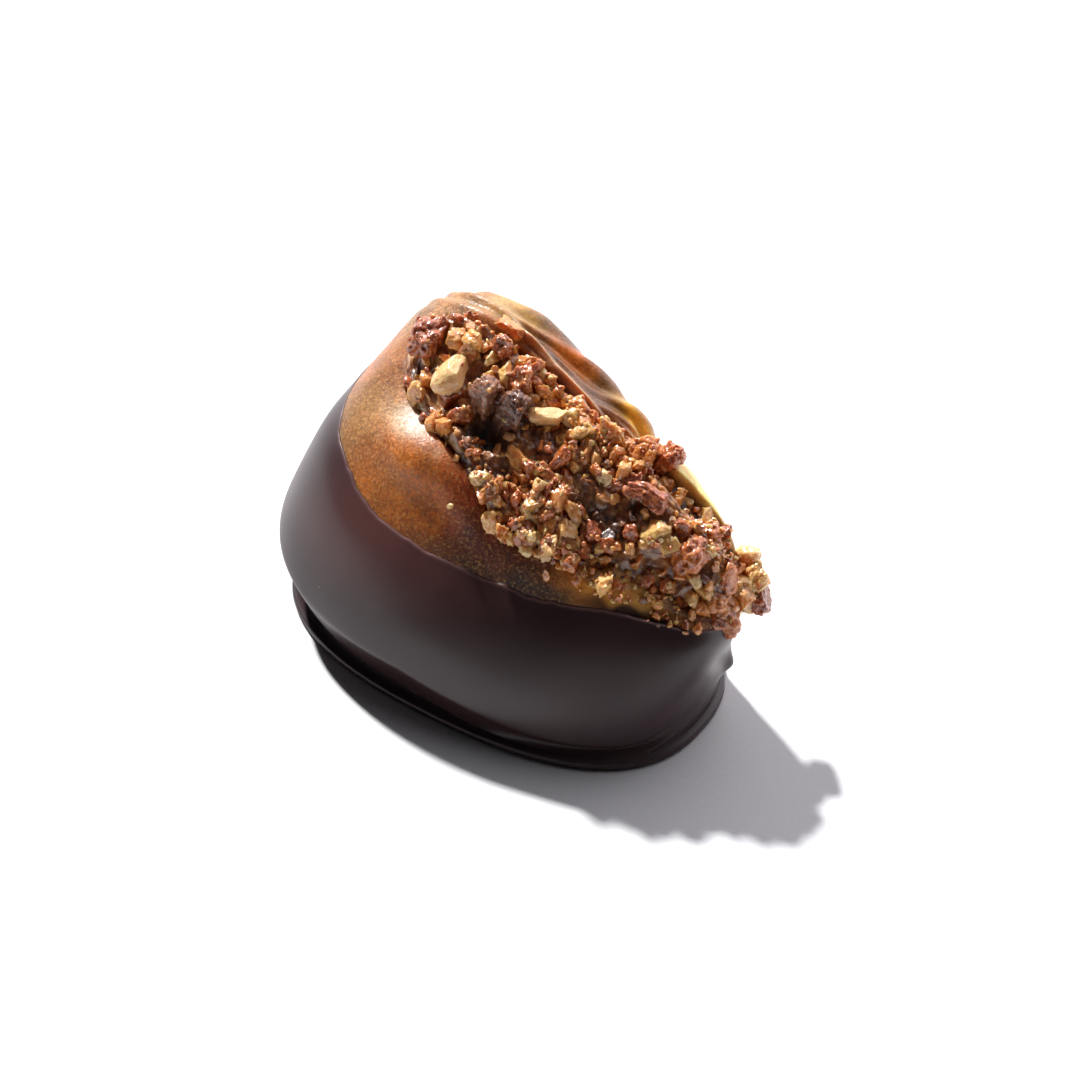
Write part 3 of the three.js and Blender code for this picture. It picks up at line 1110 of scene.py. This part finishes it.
@dataclass
class ChocolateShell:
    """The dipped coat: its flat foot with a thin flange, the undercut wall and the slanting rim."""

    form: DateForm
    fruit: Fruit
    columns: int = 420
    foot_middle: tuple[float, float] = (-1.0, -1.9)
    foot_lengths: tuple[float, float] = (20.7, 18.7)
    foot_widths: tuple[float, float] = (12.4, 11.6)
    foot_power: float = 2.4
    flange_thickness: float = 0.9
    flange_edge: float = 0.3
    flange_reach: float = 0.6
    tail_flange_extra: float = 0.9
    undercut: float = 0.34
    wall_power: float = 0.8
    rim_inset: float = 0.2
    closing: tuple[float, ...] = (0.006, 0.0, -0.02, -0.05, -0.1)
    edge_above: float = 9.0
    edge_width: float = 0.13
    wall_rows: int = 44
    outside_rows: int = 50
    rim_rows: int = 3
    edge_rows: int = 7
    easing_passes: int = 14
    roof_height: float = 3.0
    ridge_height: float = 3.0
    ridge_climb: float = 6.0
    ridge_limits: tuple[float, float] = (1.4, 4.0)
    ridge_above: float = 1.4
    ridge_below: float = 0.35
    ridge_reach: float = 0.45
    ridge_angle: float = -0.12
    ridge_spread: float = 0.32
    spur_reach: float = 0.8
    spur_angle: float = 0.2
    spur_spread: float = 0.05
    unevenness: float = 0.1
    nibbles: tuple = ((0.006, 2.4), (0.004, 0.8))
    nibbles_far_loss: float = 0.6
    # Painted light: where the sunlit patch lies on the upper near side, and how strong it is.
    sunlit_zone: Patch = Patch(-6.5, -9.5, 7.5, 4.0)
    sunlit_strength: float = 0.8
    satin: float = 0.34
    dull_zones: tuple = (
        (Patch(-2.0, -13.0, 8.5, 3.5), -0.03),
        (Patch(15.5, -8.5, 7.0, 5.5, 0.5), 0.22),
        (Patch(-14.0, -8.0, 4.0, 5.0), 0.14),
    )

    def foot(self, angle: float, inset: float, z: float) -> Vector:
        """A point of the foot's outline, drawn in by an inset, at a height.

        Args:
            angle: Bearing round the foot in radians.
            inset: How far it is drawn in, in millimetres.
            z: Height in millimetres.

        Returns:
            A point in millimetres.
        """
        cos, sin = math.cos(angle), math.sin(angle)
        length = self.foot_lengths[0] if cos > 0 else self.foot_lengths[1]
        width = self.foot_widths[0] if sin > 0 else self.foot_widths[1]
        reach = superellipse(cos, sin, length, width, self.foot_power) - inset
        return Vector((self.foot_middle[0] + reach * cos, self.foot_middle[1] + reach * sin, z))

    def wall(self, angle: float, rise: float) -> Vector:
        """The wall from the inner corner of the flange, rise 0, to the broadest outline, rise 1.

        Args:
            angle: Bearing round the date in radians.
            rise: 0 at the corner, 1 at the broadest outline.

        Returns:
            A point in millimetres.
        """
        tailward = 0.5 - 0.5 * math.cos(angle)
        reach = self.flange_reach + self.tail_flange_extra * tailward
        corner = self.foot(angle, reach, self.flange_thickness)
        edge = self.form.dome(angle, 0)
        outward = math.sin(rise * math.pi / 2) ** self.wall_power
        z = lerp(corner.z, edge.z, rise)
        hollow = self.undercut * math.sin(rise * math.pi) - self.ridge(angle, z)
        x = lerp(corner.x, edge.x, outward) - hollow * math.cos(angle)
        y = lerp(corner.y, edge.y, outward) - hollow * math.sin(angle)
        return Vector((x, y, z))

    def ridge(self, angle: float, z: float) -> float:
        """Reach of the sharp ridge, ending in a spur, that the set chocolate left round the nose.

        Args:
            angle: Bearing round the date in radians.
            z: Height on the wall in millimetres.

        Returns:
            How far it stands out there, in millimetres.
        """
        bearing = math.remainder(angle, 2 * math.pi)
        reach = self.ridge_reach * math.exp(-((bearing - self.ridge_angle) / self.ridge_spread) ** 2)
        reach += self.spur_reach * math.exp(-((bearing - self.spur_angle) / self.spur_spread) ** 2)
        above = z - clamp(self.ridge_height + self.ridge_climb * bearing, *self.ridge_limits)
        return reach * math.exp(-(above / (self.ridge_above if above > 0 else self.ridge_below)) ** 2)

    def rim(self, angle: float) -> float:
        """The rim with its small nibbles and drips.

        Args:
            angle: Bearing round the date in radians.

        Returns:
            How far up the dome it is, from 0 to 1.
        """
        here = self.form.dome(angle, self.fruit.rim(angle))
        uneven = sum(height * ripple(here, size) for height, size in self.nibbles)
        return self.fruit.rim(angle) + uneven * (1 - self.nibbles_far_loss * max(0.0, math.sin(angle)))

    def outside(self, angle: float, turn: float) -> Vector:
        """The outside above the broadest outline, faintly uneven, thinning to the rim.

        Args:
            angle: Bearing round the date in radians.
            turn: 0 at the broadest outline, 1 at the crest.

        Returns:
            A point in millimetres.
        """
        rim = self.rim(angle)
        point = self.form.dome(angle, turn)
        thin = self.rim_inset * smooth(rim - 0.08, rim, turn)
        return self.form.swollen(angle, turn, self.unevenness * (ripple(point, 6.0) - 1) - thin)

    def dull(self, point: Vector) -> float:
        """How rough the chocolate is: least along its lower near side, most below the nose."""
        return self.satin + smooth(12.0, 8.0, point.z) * piled(self.dull_zones, point.x, point.y)

    def eased(self, points: list[Vector]) -> list[Vector]:
        """Rounds the profile's corner at the broadest outline by averaging neighbours.

        Args:
            points: The profile from the flange up the outside.

        Returns:
            The eased profile, with the same ends.
        """
        for _ in range(self.easing_passes):
            inner = [a.lerp(c, 0.5).lerp(b, 0.4) for a, b, c in zip(points, points[1:], points[2:])]
            points = [points[0], *inner, points[-1]]
        return points

    def profile(self, angle: float) -> list[Vector]:
        """Points from under the foot up the outside, over the rim and down the inside.

        Args:
            angle: Bearing round the date in radians.

        Returns:
            The points in their order, in millimetres.
        """
        rim = self.rim(angle)
        centre = Vector((*self.foot_middle, 0))
        edge = self.foot(angle, self.flange_edge, 0)
        points = [centre.lerp(edge, i / 4) for i in range(5)]
        for part in range(1, self.edge_rows):
            swing = math.pi * part / self.edge_rows
            inset = self.flange_edge * (1 - math.sin(swing))
            points.append(self.foot(angle, inset, self.flange_thickness * (0.5 - 0.5 * math.cos(swing))))
        wall = [self.wall(angle, i / self.wall_rows) for i in range(self.wall_rows + 1)]
        outside = [self.outside(angle, rim * i / self.outside_rows) for i in range(1, self.outside_rows + 1)]
        points += self.eased([*wall, *outside[:-self.rim_rows]]) + outside[-self.rim_rows:]
        return points + [self.fruit.crown(angle, rim + step) for step in self.closing]

    def mesh(self) -> Form:
        """Moulds the shell, whose bottom closes over the fruit's underside, marks its thin edge and paints a
        patch of sunlight on it.

        Returns:
            The shell in millimetres.
        """
        rows = len(self.profile(0.0))
        profiles: dict[float, list[Vector]] = {}
        roof = Vector((*self.foot_middle, self.roof_height))

        def place(angle: float, height: float) -> Vector:
            """Finds a point of the shell.

            Args:
                angle: Bearing round the date in radians.
                height: From 0 at the foot's middle to 1 at the roof inside.

            Returns:
                A point in millimetres.
            """
            key = round(angle, BEARING_DIGITS)
            if key not in profiles:
                profiles[key] = [*self.profile(angle), roof]
            return profiles[key][round(height * rows)]

        form = moulded(self.columns, rows, place)
        edge, thin, dull = layers(form, "edge", "thin", "dull")
        rims = KDTree(len(profiles))
        for number, points in enumerate(profiles.values()):
            rims.insert(points[-len(self.closing) - 2], number)
        rims.balance()
        for vert in form.verts:
            here = vert.co
            if here.z > self.edge_above:
                vert[edge] = smooth(self.edge_width, 0.0, rims.find(here)[2])
            # Painted light: the sunlit patch on the upper near side, kept in the thin attribute.
            vert[thin] = self.sunlit_strength * self.sunlit_zone.cover(here.x, here.y) * smooth(6.0, 12.0, here.z)
            vert[dull] = self.dull(here)
        return form


def ground_tree(forms: list[Form]) -> BVHTree:
    """Joins forms in millimetres into one tree that rays can be cast on.

    Args:
        forms: The forms, which stay as they are.

    Returns:
        The tree, in millimetres.
    """
    joined = bmesh.new()
    for form in forms:
        copy = bpy.data.meshes.new("ground")
        form.to_mesh(copy)
        joined.from_mesh(copy)
        bpy.data.meshes.remove(copy)
    tree = BVHTree.FromBMesh(joined)
    joined.free()
    return tree


def dropped(ground: BVHTree, x: float, y: float) -> Vector | None:
    """Where something let fall over a spot of the plan meets the ground."""
    return ground.ray_cast(Vector((x, y, DROP_HEIGHT)), DOWN)[0]


@dataclass(frozen=True)
class Chunk:
    """One chopped piece: where it sits, its size, proportions and how it is turned."""

    x: float
    y: float
    size: float
    kind: NutKind
    z: float | None = None
    shape: tuple[float, float, float] = (1.0, 0.85, 0.7)
    turn: tuple[float, float, float] | None = None
    sink: float = 0.3
    grain: float = 0.0
    rough: float = 1.0
    cuts: int = 7


def nugget(x: float, y: float, z: float, size: float, kind: NutKind, grain: float = 0.16,
           **others: object) -> Chunk:
    """A rounder, granular piece of the cluster at the nose, at its own height."""
    settings = {"rough": 0.7, "cuts": 3, **others}
    return Chunk(x, y, size, kind, z=z, grain=grain, **settings)


@dataclass
class Heap:
    """Grows the chopped pieces one grade after another, each grade lying on what is there."""

    form: DateForm
    ground: BVHTree
    draw: random.Random
    cast_from: float = 25.0
    least_reach: float = 0.42
    most_reach: float = 0.85
    growth: float = 1.25
    lumps: tuple = ((2.0, 0.2), (4.5, 0.11), (10.0, 0.08))
    coarse_detail: int = 3
    warp: float = 0.3
    grain_size: float = 0.5
    overhang: float = 0.4

    def __post_init__(self) -> None:
        """Starts with no pieces of any kind."""
        self.forms = {kind: bmesh.new() for kind in NutKind}
        self.carrier = bpy.data.meshes.new("carrier")

    def seat(self, x: float, y: float, slant: Vector) -> tuple[Vector, Vector] | None:
        """Finds the ground near a spot of the plan, looking down along a slant.

        Args:
            x: Place along the date in millimetres.
            y: Place across it in millimetres.
            slant: Direction that a piece comes from.

        Returns:
            The spot and its normal, or None where there is no ground.
        """
        under = dropped(self.ground, x, y)
        if under is None:
            return None
        spot, normal, _, _ = self.ground.ray_cast(under + slant * self.cast_from, -slant)
        return None if spot is None else (spot, normal)

    def plane(self) -> tuple[Vector, float]:
        """Draws a cutting plane: the way it faces and its distance from the middle of a ball."""
        normal = Vector([self.draw.gauss(0, 1) for _ in range(3)]).normalized()
        return normal, self.draw.uniform(self.least_reach, self.most_reach)

    def cut(self, chunk: Chunk, centre: Vector, detail: int) -> None:
        """Cuts an angular piece from a ball by flattening it against random planes.

        Args:
            chunk: The piece.
            centre: Where its middle goes.
            detail: Subdivisions of the ball.
        """
        form = bmesh.new()
        bmesh.ops.create_icosphere(form, subdivisions=detail, radius=1.0)
        shades, = layers(form, "shade")
        planes = [self.plane() for _ in range(chunk.cuts)]
        turn = chunk.turn or tuple(self.draw.uniform(0, 2 * math.pi) for _ in range(3))
        spin = Euler(turn).to_matrix()
        stretch = Vector(chunk.shape) * (chunk.size / 2)
        offset = Vector([self.draw.uniform(0, 50) for _ in range(3)])
        shade = self.draw.random()
        lumps = self.lumps if detail > self.coarse_detail else self.lumps[:-1]
        for vert in form.verts:
            point = vert.co.copy()
            for normal, reach in planes:
                point -= normal * max(0.0, point.dot(normal) - reach)
            rough = sum(depth * noise.noise(point * fineness + offset) for fineness, depth in lumps)
            if chunk.grain:
                warped = point + offset + self.warp * wander(point + offset / 3, 1 / 3)
                rough += chunk.grain * (grains(warped, self.grain_size) - 0.5)
            point *= self.growth * (1 + chunk.rough * rough)
            vert.co = centre + spin @ Vector([a * b for a, b in zip(point, stretch)])
            vert[shades] = shade
        form.to_mesh(self.carrier)
        form.free()
        self.forms[chunk.kind].from_mesh(self.carrier)

    def lay(self, chunk: Chunk, detail: int, slant: Vector = -DOWN, within: float = math.inf,
            clear: float = -math.inf) -> None:
        """Lays a piece on the ground, or at its own height if it has one.

        Args:
            chunk: The piece.
            detail: Subdivisions of its ball.
            slant: Direction it comes from.
            within: Furthest it may reach past the slit's edge, in millimetres.
            clear: Least height above the chocolate's rim, in millimetres.
        """
        if chunk.z is not None:
            self.cut(chunk, Vector((chunk.x, chunk.y, chunk.z)), detail)
            return
        found = self.seat(chunk.x, chunk.y, slant)
        if found is None:
            return
        spot, normal = found
        too_far = self.form.past_slit(spot.x, spot.y) > within - self.overhang * chunk.size
        if too_far or spot.z < self.form.dip_line(spot.x, spot.y) + clear:
            return
        lift = chunk.size * chunk.shape[2] * (0.5 - chunk.sink)
        self.cut(chunk, spot + normal * lift, detail)


@dataclass(frozen=True)
class Grade:
    """One grade of chopped pieces.

    Attributes:
        count: How many are tried.
        sizes: Smallest and largest size in millimetres.
        detail: Subdivisions of each piece.
        past_edge: Furthest a piece may reach past the slit's edge, in millimetres.
        area: Where they fall, if not all over the slit.
        clear: Least height above the chocolate's rim, in millimetres.
    """

    count: int
    sizes: tuple[float, float]
    detail: int
    past_edge: float
    area: Patch | None = None
    clear: float = -math.inf


@dataclass
class Filling:
    """The sticky core in the slit and the chopped pieces on it."""

    form: DateForm
    fruit: Fruit
    columns: int = 440
    rows: int = 170
    rise: float = 0.15
    depth: float = 4.0
    edge_drop: float = 0.7
    far_sink: float = 0.6
    bowl_share: float = 0.12
    side_inset: float = 0.25
    nose_inset: float = 2.4
    crumb_sizes: tuple[float, float] = (1.2, 0.6)
    crumb_depths: tuple[float, float] = (0.5, 0.2)
    waves: tuple = ((0.5, 3.0), (0.14, 0.45))
    crumb_warp: float = 0.35
    warp_size: float = 0.8
    dark_hollows: tuple = (
        (Patch(-2.4, -0.9, 1.6, 1.2), 1.8),
        (Patch(1.0, -2.9, 2.2, 1.0, 0.2), 1.0),
        (Patch(8.2, -1.8, 2.6, 1.8, 0.2), 0.8),
        (Patch(-9.6, 0.9, 1.6, 1.0), 0.9),
    )
    hollows: tuple = (
        (Patch(12.8, -4.1, 4.2, 2.1, 0.35), 3.4),
        (Patch(15.5, 3.9, 2.5, 1.0, -0.1), 0.6),
        (Patch(17.2, -1.6, 3.0, 2.2), 1.6),
    )
    crevice_shade: float = 0.45
    mound: Patch = Patch(-9.0, 4.5, 4.5, 3.2)
    mound_rise: float = 0.25
    sparse: tuple = (
        (Patch(12.8, -4.1, 4.2, 2.1, 0.35), 0.6),
        (Patch(-2.4, -0.9, 1.6, 1.2), 0.9),
        (Patch(-7.3, 1.4, 1.9, 1.4), 0.9),
        (Patch(2.1, 2.6, 1.6, 1.2), 0.9),
    )
    key_pieces: tuple = (
        Chunk(-11.0, 3.5, 3.9, SKIN, grain=0.2, shape=(1.0, 0.9, 0.75), sink=0.5),
        Chunk(-7.3, 1.4, 3.7, PALE, shape=(1.0, 0.62, 0.6), turn=(0.3, -0.5, 1.1), sink=0.15, rough=0.35),
        Chunk(-5.1, 4.2, 2.5, TOFFEE, grain=0.1),
        Chunk(-5.4, 6.9, 2.2, GOLDEN, grain=0.15, shape=(1.0, 0.9, 0.75), turn=(0.1, 0.2, 0.4), sink=0.55),
        Chunk(-8.8, 5.7, 2.5, TOFFEE, grain=0.15, sink=0.6),
        Chunk(-6.9, 3.6, 2.0, GOLDEN),
        Chunk(-2.0, 2.9, 4.0, SKIN, grain=0.2, shape=(1.0, 0.8, 0.7), sink=0.5),
        Chunk(-4.0, 1.3, 3.6, DARK, grain=0.2, sink=0.1),
        Chunk(-1.2, 1.2, 3.2, DARK, grain=0.15, sink=0.1),
        Chunk(-3.68, -3.9, 0.7, TOFFEE),
        Chunk(-2.32, -6.4, 0.6, PALE),
        Chunk(-5.4, -1.3, 2.6, SKIN),
        Chunk(2.1, 2.6, 3.0, PALE, shape=(1.0, 0.62, 0.6), turn=(0.1, 0.15, 0.6), sink=-0.1, rough=0.4),
        Chunk(3.75, -1.6, 1.6, PALE, sink=0.0, rough=0.4),
        Chunk(3.0, -1.0, 1.3, GOLDEN),
        Chunk(1.2, -5.3, 1.9, GOLDEN, grain=0.15, sink=0.15),
        Chunk(2.6, -5.3, 1.9, GOLDEN, shape=(0.6, 0.7, 1.0), turn=(0.2, 0.1, 0.4), sink=0.1),
        Chunk(3.8, -4.9, 1.3, TOFFEE, sink=0.15),
        Chunk(4.9, -4.9, 1.8, GOLDEN, shape=(0.6, 0.7, 1.0), turn=(0.1, -0.2, 1.0), sink=0.1),
        Chunk(6.6, -4.7, 2.5, PALE, shape=(0.6, 0.6, 1.0), turn=(0.3, 0.1, 0.4), sink=0.3),
        Chunk(2.4, -3.6, 1.7, TOFFEE, shape=(1.0, 0.6, 0.6), sink=0.1),
        Chunk(4.9, -3.1, 1.9, TOFFEE),
        Chunk(8.8, -3.2, 2.0, TOFFEE),
        Chunk(9.05, 2.2, 4.0, SKIN, shape=(1.0, 0.4, 0.25), turn=(0.5, -0.3, 0.95), sink=0.1),
        Chunk(7.9, 1.2, 1.4, PALE),
        Chunk(11.7, 2.0, 3.9, SKIN, shape=(1.0, 0.5, 0.45), turn=(0.1, 0.2, 0.2)),
        Chunk(13.4, 0.2, 2.3, GOLDEN, sink=0.45),
        Chunk(16.2, 1.1, 3.2, TOFFEE, sink=0.6),
        Chunk(15.0, 2.0, 2.4, TOFFEE, sink=0.5),
        Chunk(8.9, 4.6, 3.0, GOLDEN, grain=0.15),
        Chunk(6.0, 4.2, 2.6, TOFFEE, grain=0.15),
        Chunk(10.4, 6.2, 2.7, TOFFEE, grain=0.12),
        Chunk(9.2, 6.2, 2.0, GOLDEN),
    )
    nose_pieces: tuple = (
        nugget(18.7, 6.1, 13.2, 2.4, PALE, 0.14, shape=(1.0, 0.95, 0.9)),
        nugget(19.8, 5.4, 12.4, 2.8, GOLDEN),
        nugget(20.6, 4.9, 11.4, 2.6, TOFFEE),
        nugget(20.4, 4.0, 11.2, 2.2, GOLDEN),
        nugget(19.5, 3.8, 12.2, 2.4, PALE),
        nugget(19.7, 1.2, 10.9, 2.4, GOLDEN, shape=(1.0, 0.95, 0.9), cuts=2),
        nugget(19.5, 0.9, 11.9, 1.7, GOLDEN),
        nugget(18.3, -0.4, 12.6, 1.8, GOLDEN),
        nugget(18.9, 0.8, 12.9, 2.1, GOLDEN),
        nugget(17.4, -0.4, 13.6, 1.6, PALE, 0.12, cuts=4),
        nugget(18.0, 0.6, 13.8, 2.0, GOLDEN),
        nugget(18.9, 2.6, 12.8, 2.4, TOFFEE, 0.12),
        nugget(17.6, 1.9, 14.4, 2.2, GOLDEN, 0.14, cuts=4),
        nugget(19.3, 2.0, 11.8, 2.0, GOLDEN, 0.14, rough=0.6),
    )
    mix: tuple = ((PALE, 9), (GOLDEN, 39), (TOFFEE, 34), (SKIN, 14), (DARK, 4))
    nose: Patch = Patch(17.4, 4.0, 2.4, 2.8)
    flesh: Patch = Patch(12.8, -4.4, 5.0, 1.8)
    brow: Patch = Patch(15.8, -1.8, 3.2, 2.6)
    coarse_grades: tuple = (
        Grade(140, (1.2, 2.5), 4, 0.2),
        Grade(12, (1.2, 2.0), 4, 0.5, nose),
        Grade(420, (0.65, 1.3), 3, 0.2),
        Grade(40, (0.6, 1.2), 3, 0.7, nose),
        Grade(60, (0.5, 1.1), 3, 2.4, flesh, 0.6),
        Grade(24, (0.6, 1.3), 3, 0.8, brow),
    )
    fine_grades: tuple = (
        Grade(320, (0.3, 0.6), 2, 0.2),
        Grade(40, (0.3, 0.6), 2, 0.8, nose),
        Grade(160, (0.25, 0.55), 2, 2.8, flesh, 0.4),
        Grade(50, (0.3, 0.6), 2, 0.8, brow),
    )
    large_piece: float = 2.4
    slants: tuple = ((-0.4, 0.4), (-0.4, 0.2))
    widths: tuple[float, float] = (0.55, 0.95)
    heights: tuple[float, float] = (0.45, 0.85)
    sinks: tuple[float, float] = (0.28, 0.58)
    most_grain: float = 0.14
    far_hold: float = 0.6
    seed: int = 7

    def warped(self, point: Vector) -> Vector:
        """The point shifted a little, so that the crumbs round it aren't even."""
        return point + self.crumb_warp * wander(point, self.warp_size)

    def top(self, ground: BVHTree, x: float, y: float) -> float:
        """Height of the core's top over a spot of the plan.

        Args:
            ground: The smooth dome without its slit.
            x: Place along the date in millimetres.
            y: Place across it in millimetres.

        Returns:
            The height in millimetres.
        """
        point = dropped(ground, x, y)
        large, small = self.crumb_sizes
        warped = self.warped(point)
        high, low = self.crumb_depths
        relief = high * grains(warped, large) + low * grains(warped + FINE_SHIFT, small)
        relief += sum(height * ripple(point, size) for height, size in self.waves)
        relief -= piled((*self.dark_hollows, *self.hollows), x, y)
        relief -= self.far_sink * smooth(2.0, 5.0, y - self.form.slit_centre(x)) * smooth(-7.0, -4.0, x)
        relief += self.mound_rise * self.mound.cover(x, y) + self.fruit.swell(x, y)
        return point.z + self.rise + relief

    def core(self, ground: BVHTree) -> Form:
        """Moulds the core: a shallow bowl below and the granular top above.

        Args:
            ground: The smooth dome without its slit.

        Returns:
            The core in millimetres.
        """
        share = self.bowl_share

        def place(angle: float, height: float) -> Vector:
            """Finds a point of the core.

            Args:
                angle: Bearing round the slit's middle in radians.
                height: From 0 at the bottom of the bowl to 1 in the middle of the top.

            Returns:
                A point in millimetres.
            """
            inset = lerp(self.side_inset, self.nose_inset, smooth(0.6, 1.0, math.cos(angle)))
            if height > share:
                part = clamp((1 - height) / (1 - share), 0, 1) ** 0.85
                drop = self.edge_drop * smooth(0.9, 1.0, part)
            else:
                part = height / share
                drop = self.edge_drop + self.depth * (1 - part) ** 0.4
            x, y = self.form.slit_spot(angle, part, inset)
            return Vector((x, y, self.top(ground, x, y) - drop))

        form = moulded(self.columns, self.rows, place)
        shade, tone, syrup = layers(form, "shade", "tone", "syrup")
        large, small = self.crumb_sizes
        for vert in form.verts:
            here = vert.co
            # Painted shade: the paste is darker in the deep hollows and between its grains.
            dark = max(depth * patch.cover(here.x, here.y) for patch, depth in self.dark_hollows)
            between = 1 - grains(self.warped(here), large)
            vert[shade] = clamp(1.0 - 0.75 * dark, 0.08, 1.0) * (1 - self.crevice_shade * between)
            vert[tone] = 0.5 * (grain_tone(here, large) + grain_tone(here + FINE_SHIFT, small))
            vert[syrup] = self.fruit.bare_flesh.cover(here.x, here.y)
        return form

    def pick(self, draw: random.Random) -> NutKind:
        """Draws a kind of piece in the proportions of the mix."""
        kinds, weights = zip(*self.mix)
        return draw.choices(kinds, weights)[0]

    def spot(self, draw: random.Random, area: Patch | None) -> tuple[float, float]:
        """Draws a spot anywhere in the slit, or round the middle of an area.

        Args:
            draw: Where the random numbers come from.
            area: Where the spot lies, or None for all the slit.

        Returns:
            X and y of the spot in millimetres.
        """
        if area is None:
            return self.form.slit_spot(draw.uniform(0, 2 * math.pi), math.sqrt(draw.random()), 0.0)
        return draw.gauss(area.x, area.length / 2), draw.gauss(area.y, area.width / 2)

    def scatter(self, heap: Heap, grade: Grade) -> None:
        """Scatters one grade of pieces over the heap.

        Args:
            heap: What they are laid on.
            grade: How many, how large and where.
        """
        draw = heap.draw
        for _ in range(grade.count):
            x, y = self.spot(draw, grade.area)
            if draw.random() < max(chance * patch.cover(x, y) for patch, chance in self.sparse):
                continue
            size = draw.uniform(*grade.sizes)
            slant = Vector((*(draw.uniform(*limits) for limits in self.slants), 1)).normalized()
            shape = (1.0, draw.uniform(*self.widths), draw.uniform(*self.heights))
            chunk = Chunk(x, y, size, self.pick(draw), shape=shape, sink=draw.uniform(*self.sinks),
                          grain=draw.uniform(0.0, self.most_grain))
            far = smooth(1.0, 4.0, y - self.form.slit_centre(x)) * smooth(-6.0, -3.0, x)
            heap.lay(chunk, grade.detail, slant, grade.past_edge - self.far_hold * far, grade.clear)

    def pile(self, grounds: list[Form]) -> Heap:
        """Lays the larger pieces on bare ground and the fine crumbs on top of them.

        Args:
            grounds: The fruit, the shell and the core in millimetres.

        Returns:
            The finished heap.
        """
        heap = Heap(self.form, ground_tree(grounds), random.Random(self.seed))
        for chunk in (*self.key_pieces, *self.nose_pieces):
            heap.lay(chunk, 5 if chunk.size > self.large_piece else 4)
        for grade in self.coarse_grades:
            self.scatter(heap, grade)
        heap.ground = ground_tree([*grounds, *heap.forms.values()])
        for grade in self.fine_grades:
            self.scatter(heap, grade)
        return heap


@dataclass(frozen=True)
class Studio:
    """Pale floor, one hard key light from the far left, soft surroundings and the camera."""

    azimuth: float = math.radians(34.7)
    elevation: float = math.radians(46.0)
    distance: float = 0.52
    field: float = 0.09
    aim: tuple[float, float, float] = (0.0013, 0.00115, 0.00973)
    sensor: float = 36.0
    floor_size: float = 3.0
    towards_light: tuple[float, float, float] = (-0.63, 0.33, 0.70)
    light_strength: float = 5.6
    light_angle: float = math.radians(3.2)
    soft_from: tuple[float, float, float] = (0.0, 0.9, 0.45)
    soft_edge: float = 0.5
    soft_colour: tuple = (0.96, 0.94, 1.0, 1)
    soft_least: float = 0.02
    soft_most: float = 2.3

    def camera(self) -> None:
        """Places the camera at the photograph's angle."""
        back = Vector((
            math.sin(self.azimuth) * math.cos(self.elevation),
            -math.cos(self.azimuth) * math.cos(self.elevation),
            math.sin(self.elevation)))
        data = bpy.data.cameras.new("camera")
        data.sensor_width = self.sensor
        data.lens = self.sensor * self.distance / self.field
        data.clip_start = 0.01
        made = bpy.data.objects.new("camera", data)
        made.location = Vector(self.aim) + back * self.distance
        made.rotation_euler = back.to_track_quat("Z", "Y").to_euler()
        bpy.context.scene.collection.objects.link(made)
        bpy.context.scene.camera = made

    def floor(self) -> None:
        """Lays the pale floor."""
        form = bmesh.new()
        bmesh.ops.create_grid(form, x_segments=1, y_segments=1, size=self.floor_size / 2)
        mesh = bpy.data.meshes.new("floor")
        form.to_mesh(mesh)
        form.free()
        graph = Graph("floor")
        graph.set(Base_Color=(0.82, 0.82, 0.83, 1), Roughness=0.9, Specular_IOR_Level=0.2)
        graph.set(Normal=graph.bump(graph.clouds(0.5, 3.0), 0.05, 0.3))
        mesh.materials.append(graph.material)
        made = bpy.data.objects.new("floor", mesh)
        bpy.context.scene.collection.objects.link(made)

    def surroundings(self) -> bpy.types.World:
        """Soft light that comes from behind and above and fades towards the camera.

        Returns:
            The world that gives this light.
        """
        world = bpy.data.worlds.new("surroundings")
        world.use_nodes = True
        nodes, links = world.node_tree.nodes, world.node_tree.links
        background = nodes["Background"]
        background.inputs["Color"].default_value = self.soft_colour
        facing = nodes.new("ShaderNodeVectorMath")
        facing.operation = "DOT_PRODUCT"
        facing.inputs[1].default_value = Vector(self.soft_from).normalized()
        links.new(nodes.new("ShaderNodeTexCoord").outputs["Generated"], facing.inputs[0])
        fade = nodes.new("ShaderNodeMapRange")
        limits = {"From Min": self.soft_edge, "To Min": self.soft_least, "To Max": self.soft_most}
        for key, number in limits.items():
            fade.inputs[key].default_value = number
        links.new(facing.outputs["Value"], fade.inputs["Value"])
        links.new(fade.outputs["Result"], background.inputs["Strength"])
        return world

    def lights(self) -> None:
        """Hangs the key light and sets the surroundings."""
        data = bpy.data.lights.new("key", "SUN")
        data.energy = self.light_strength
        data.angle = self.light_angle
        made = bpy.data.objects.new("key", data)
        made.rotation_euler = Vector(self.towards_light).to_track_quat("Z", "Y").to_euler()
        bpy.context.scene.collection.objects.link(made)
        bpy.context.scene.world = self.surroundings()
        bpy.context.scene.view_settings.view_transform = "Standard"

    def build(self) -> None:
        """Sets up the whole studio."""
        self.camera()
        self.floor()
        self.lights()


def main() -> None:
    """Builds the pieces in order."""
    logging.basicConfig(level=logging.INFO, format="%(message)s")
    Studio().build()
    form = DateForm()
    fruit = Fruit(form)
    fruit_form = fruit.mesh()
    shell_form = ChocolateShell(form, fruit).mesh()
    filling = Filling(form, fruit)
    core_form = filling.core(form.dome_tree())
    heap = filling.pile([fruit_form, shell_form, core_form])

    date = finished(fruit_form, "date_flesh", FruitFinish().material())
    dressed(date, "date_fruit")
    shell = finished(shell_form, "chocolate_shell", ChocolateFinish().material())
    dressed(shell, "chocolate_coat")
    core = finished(core_form, "pecan_core", PasteFinish().material())
    dressed(core, "pecan_filling")
    for kind, pieces in heap.forms.items():
        dressed(finished(pieces, kind.label + "_pieces", NutFinish(kind).material()))

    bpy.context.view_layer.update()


if __name__ == "__main__":
    main()
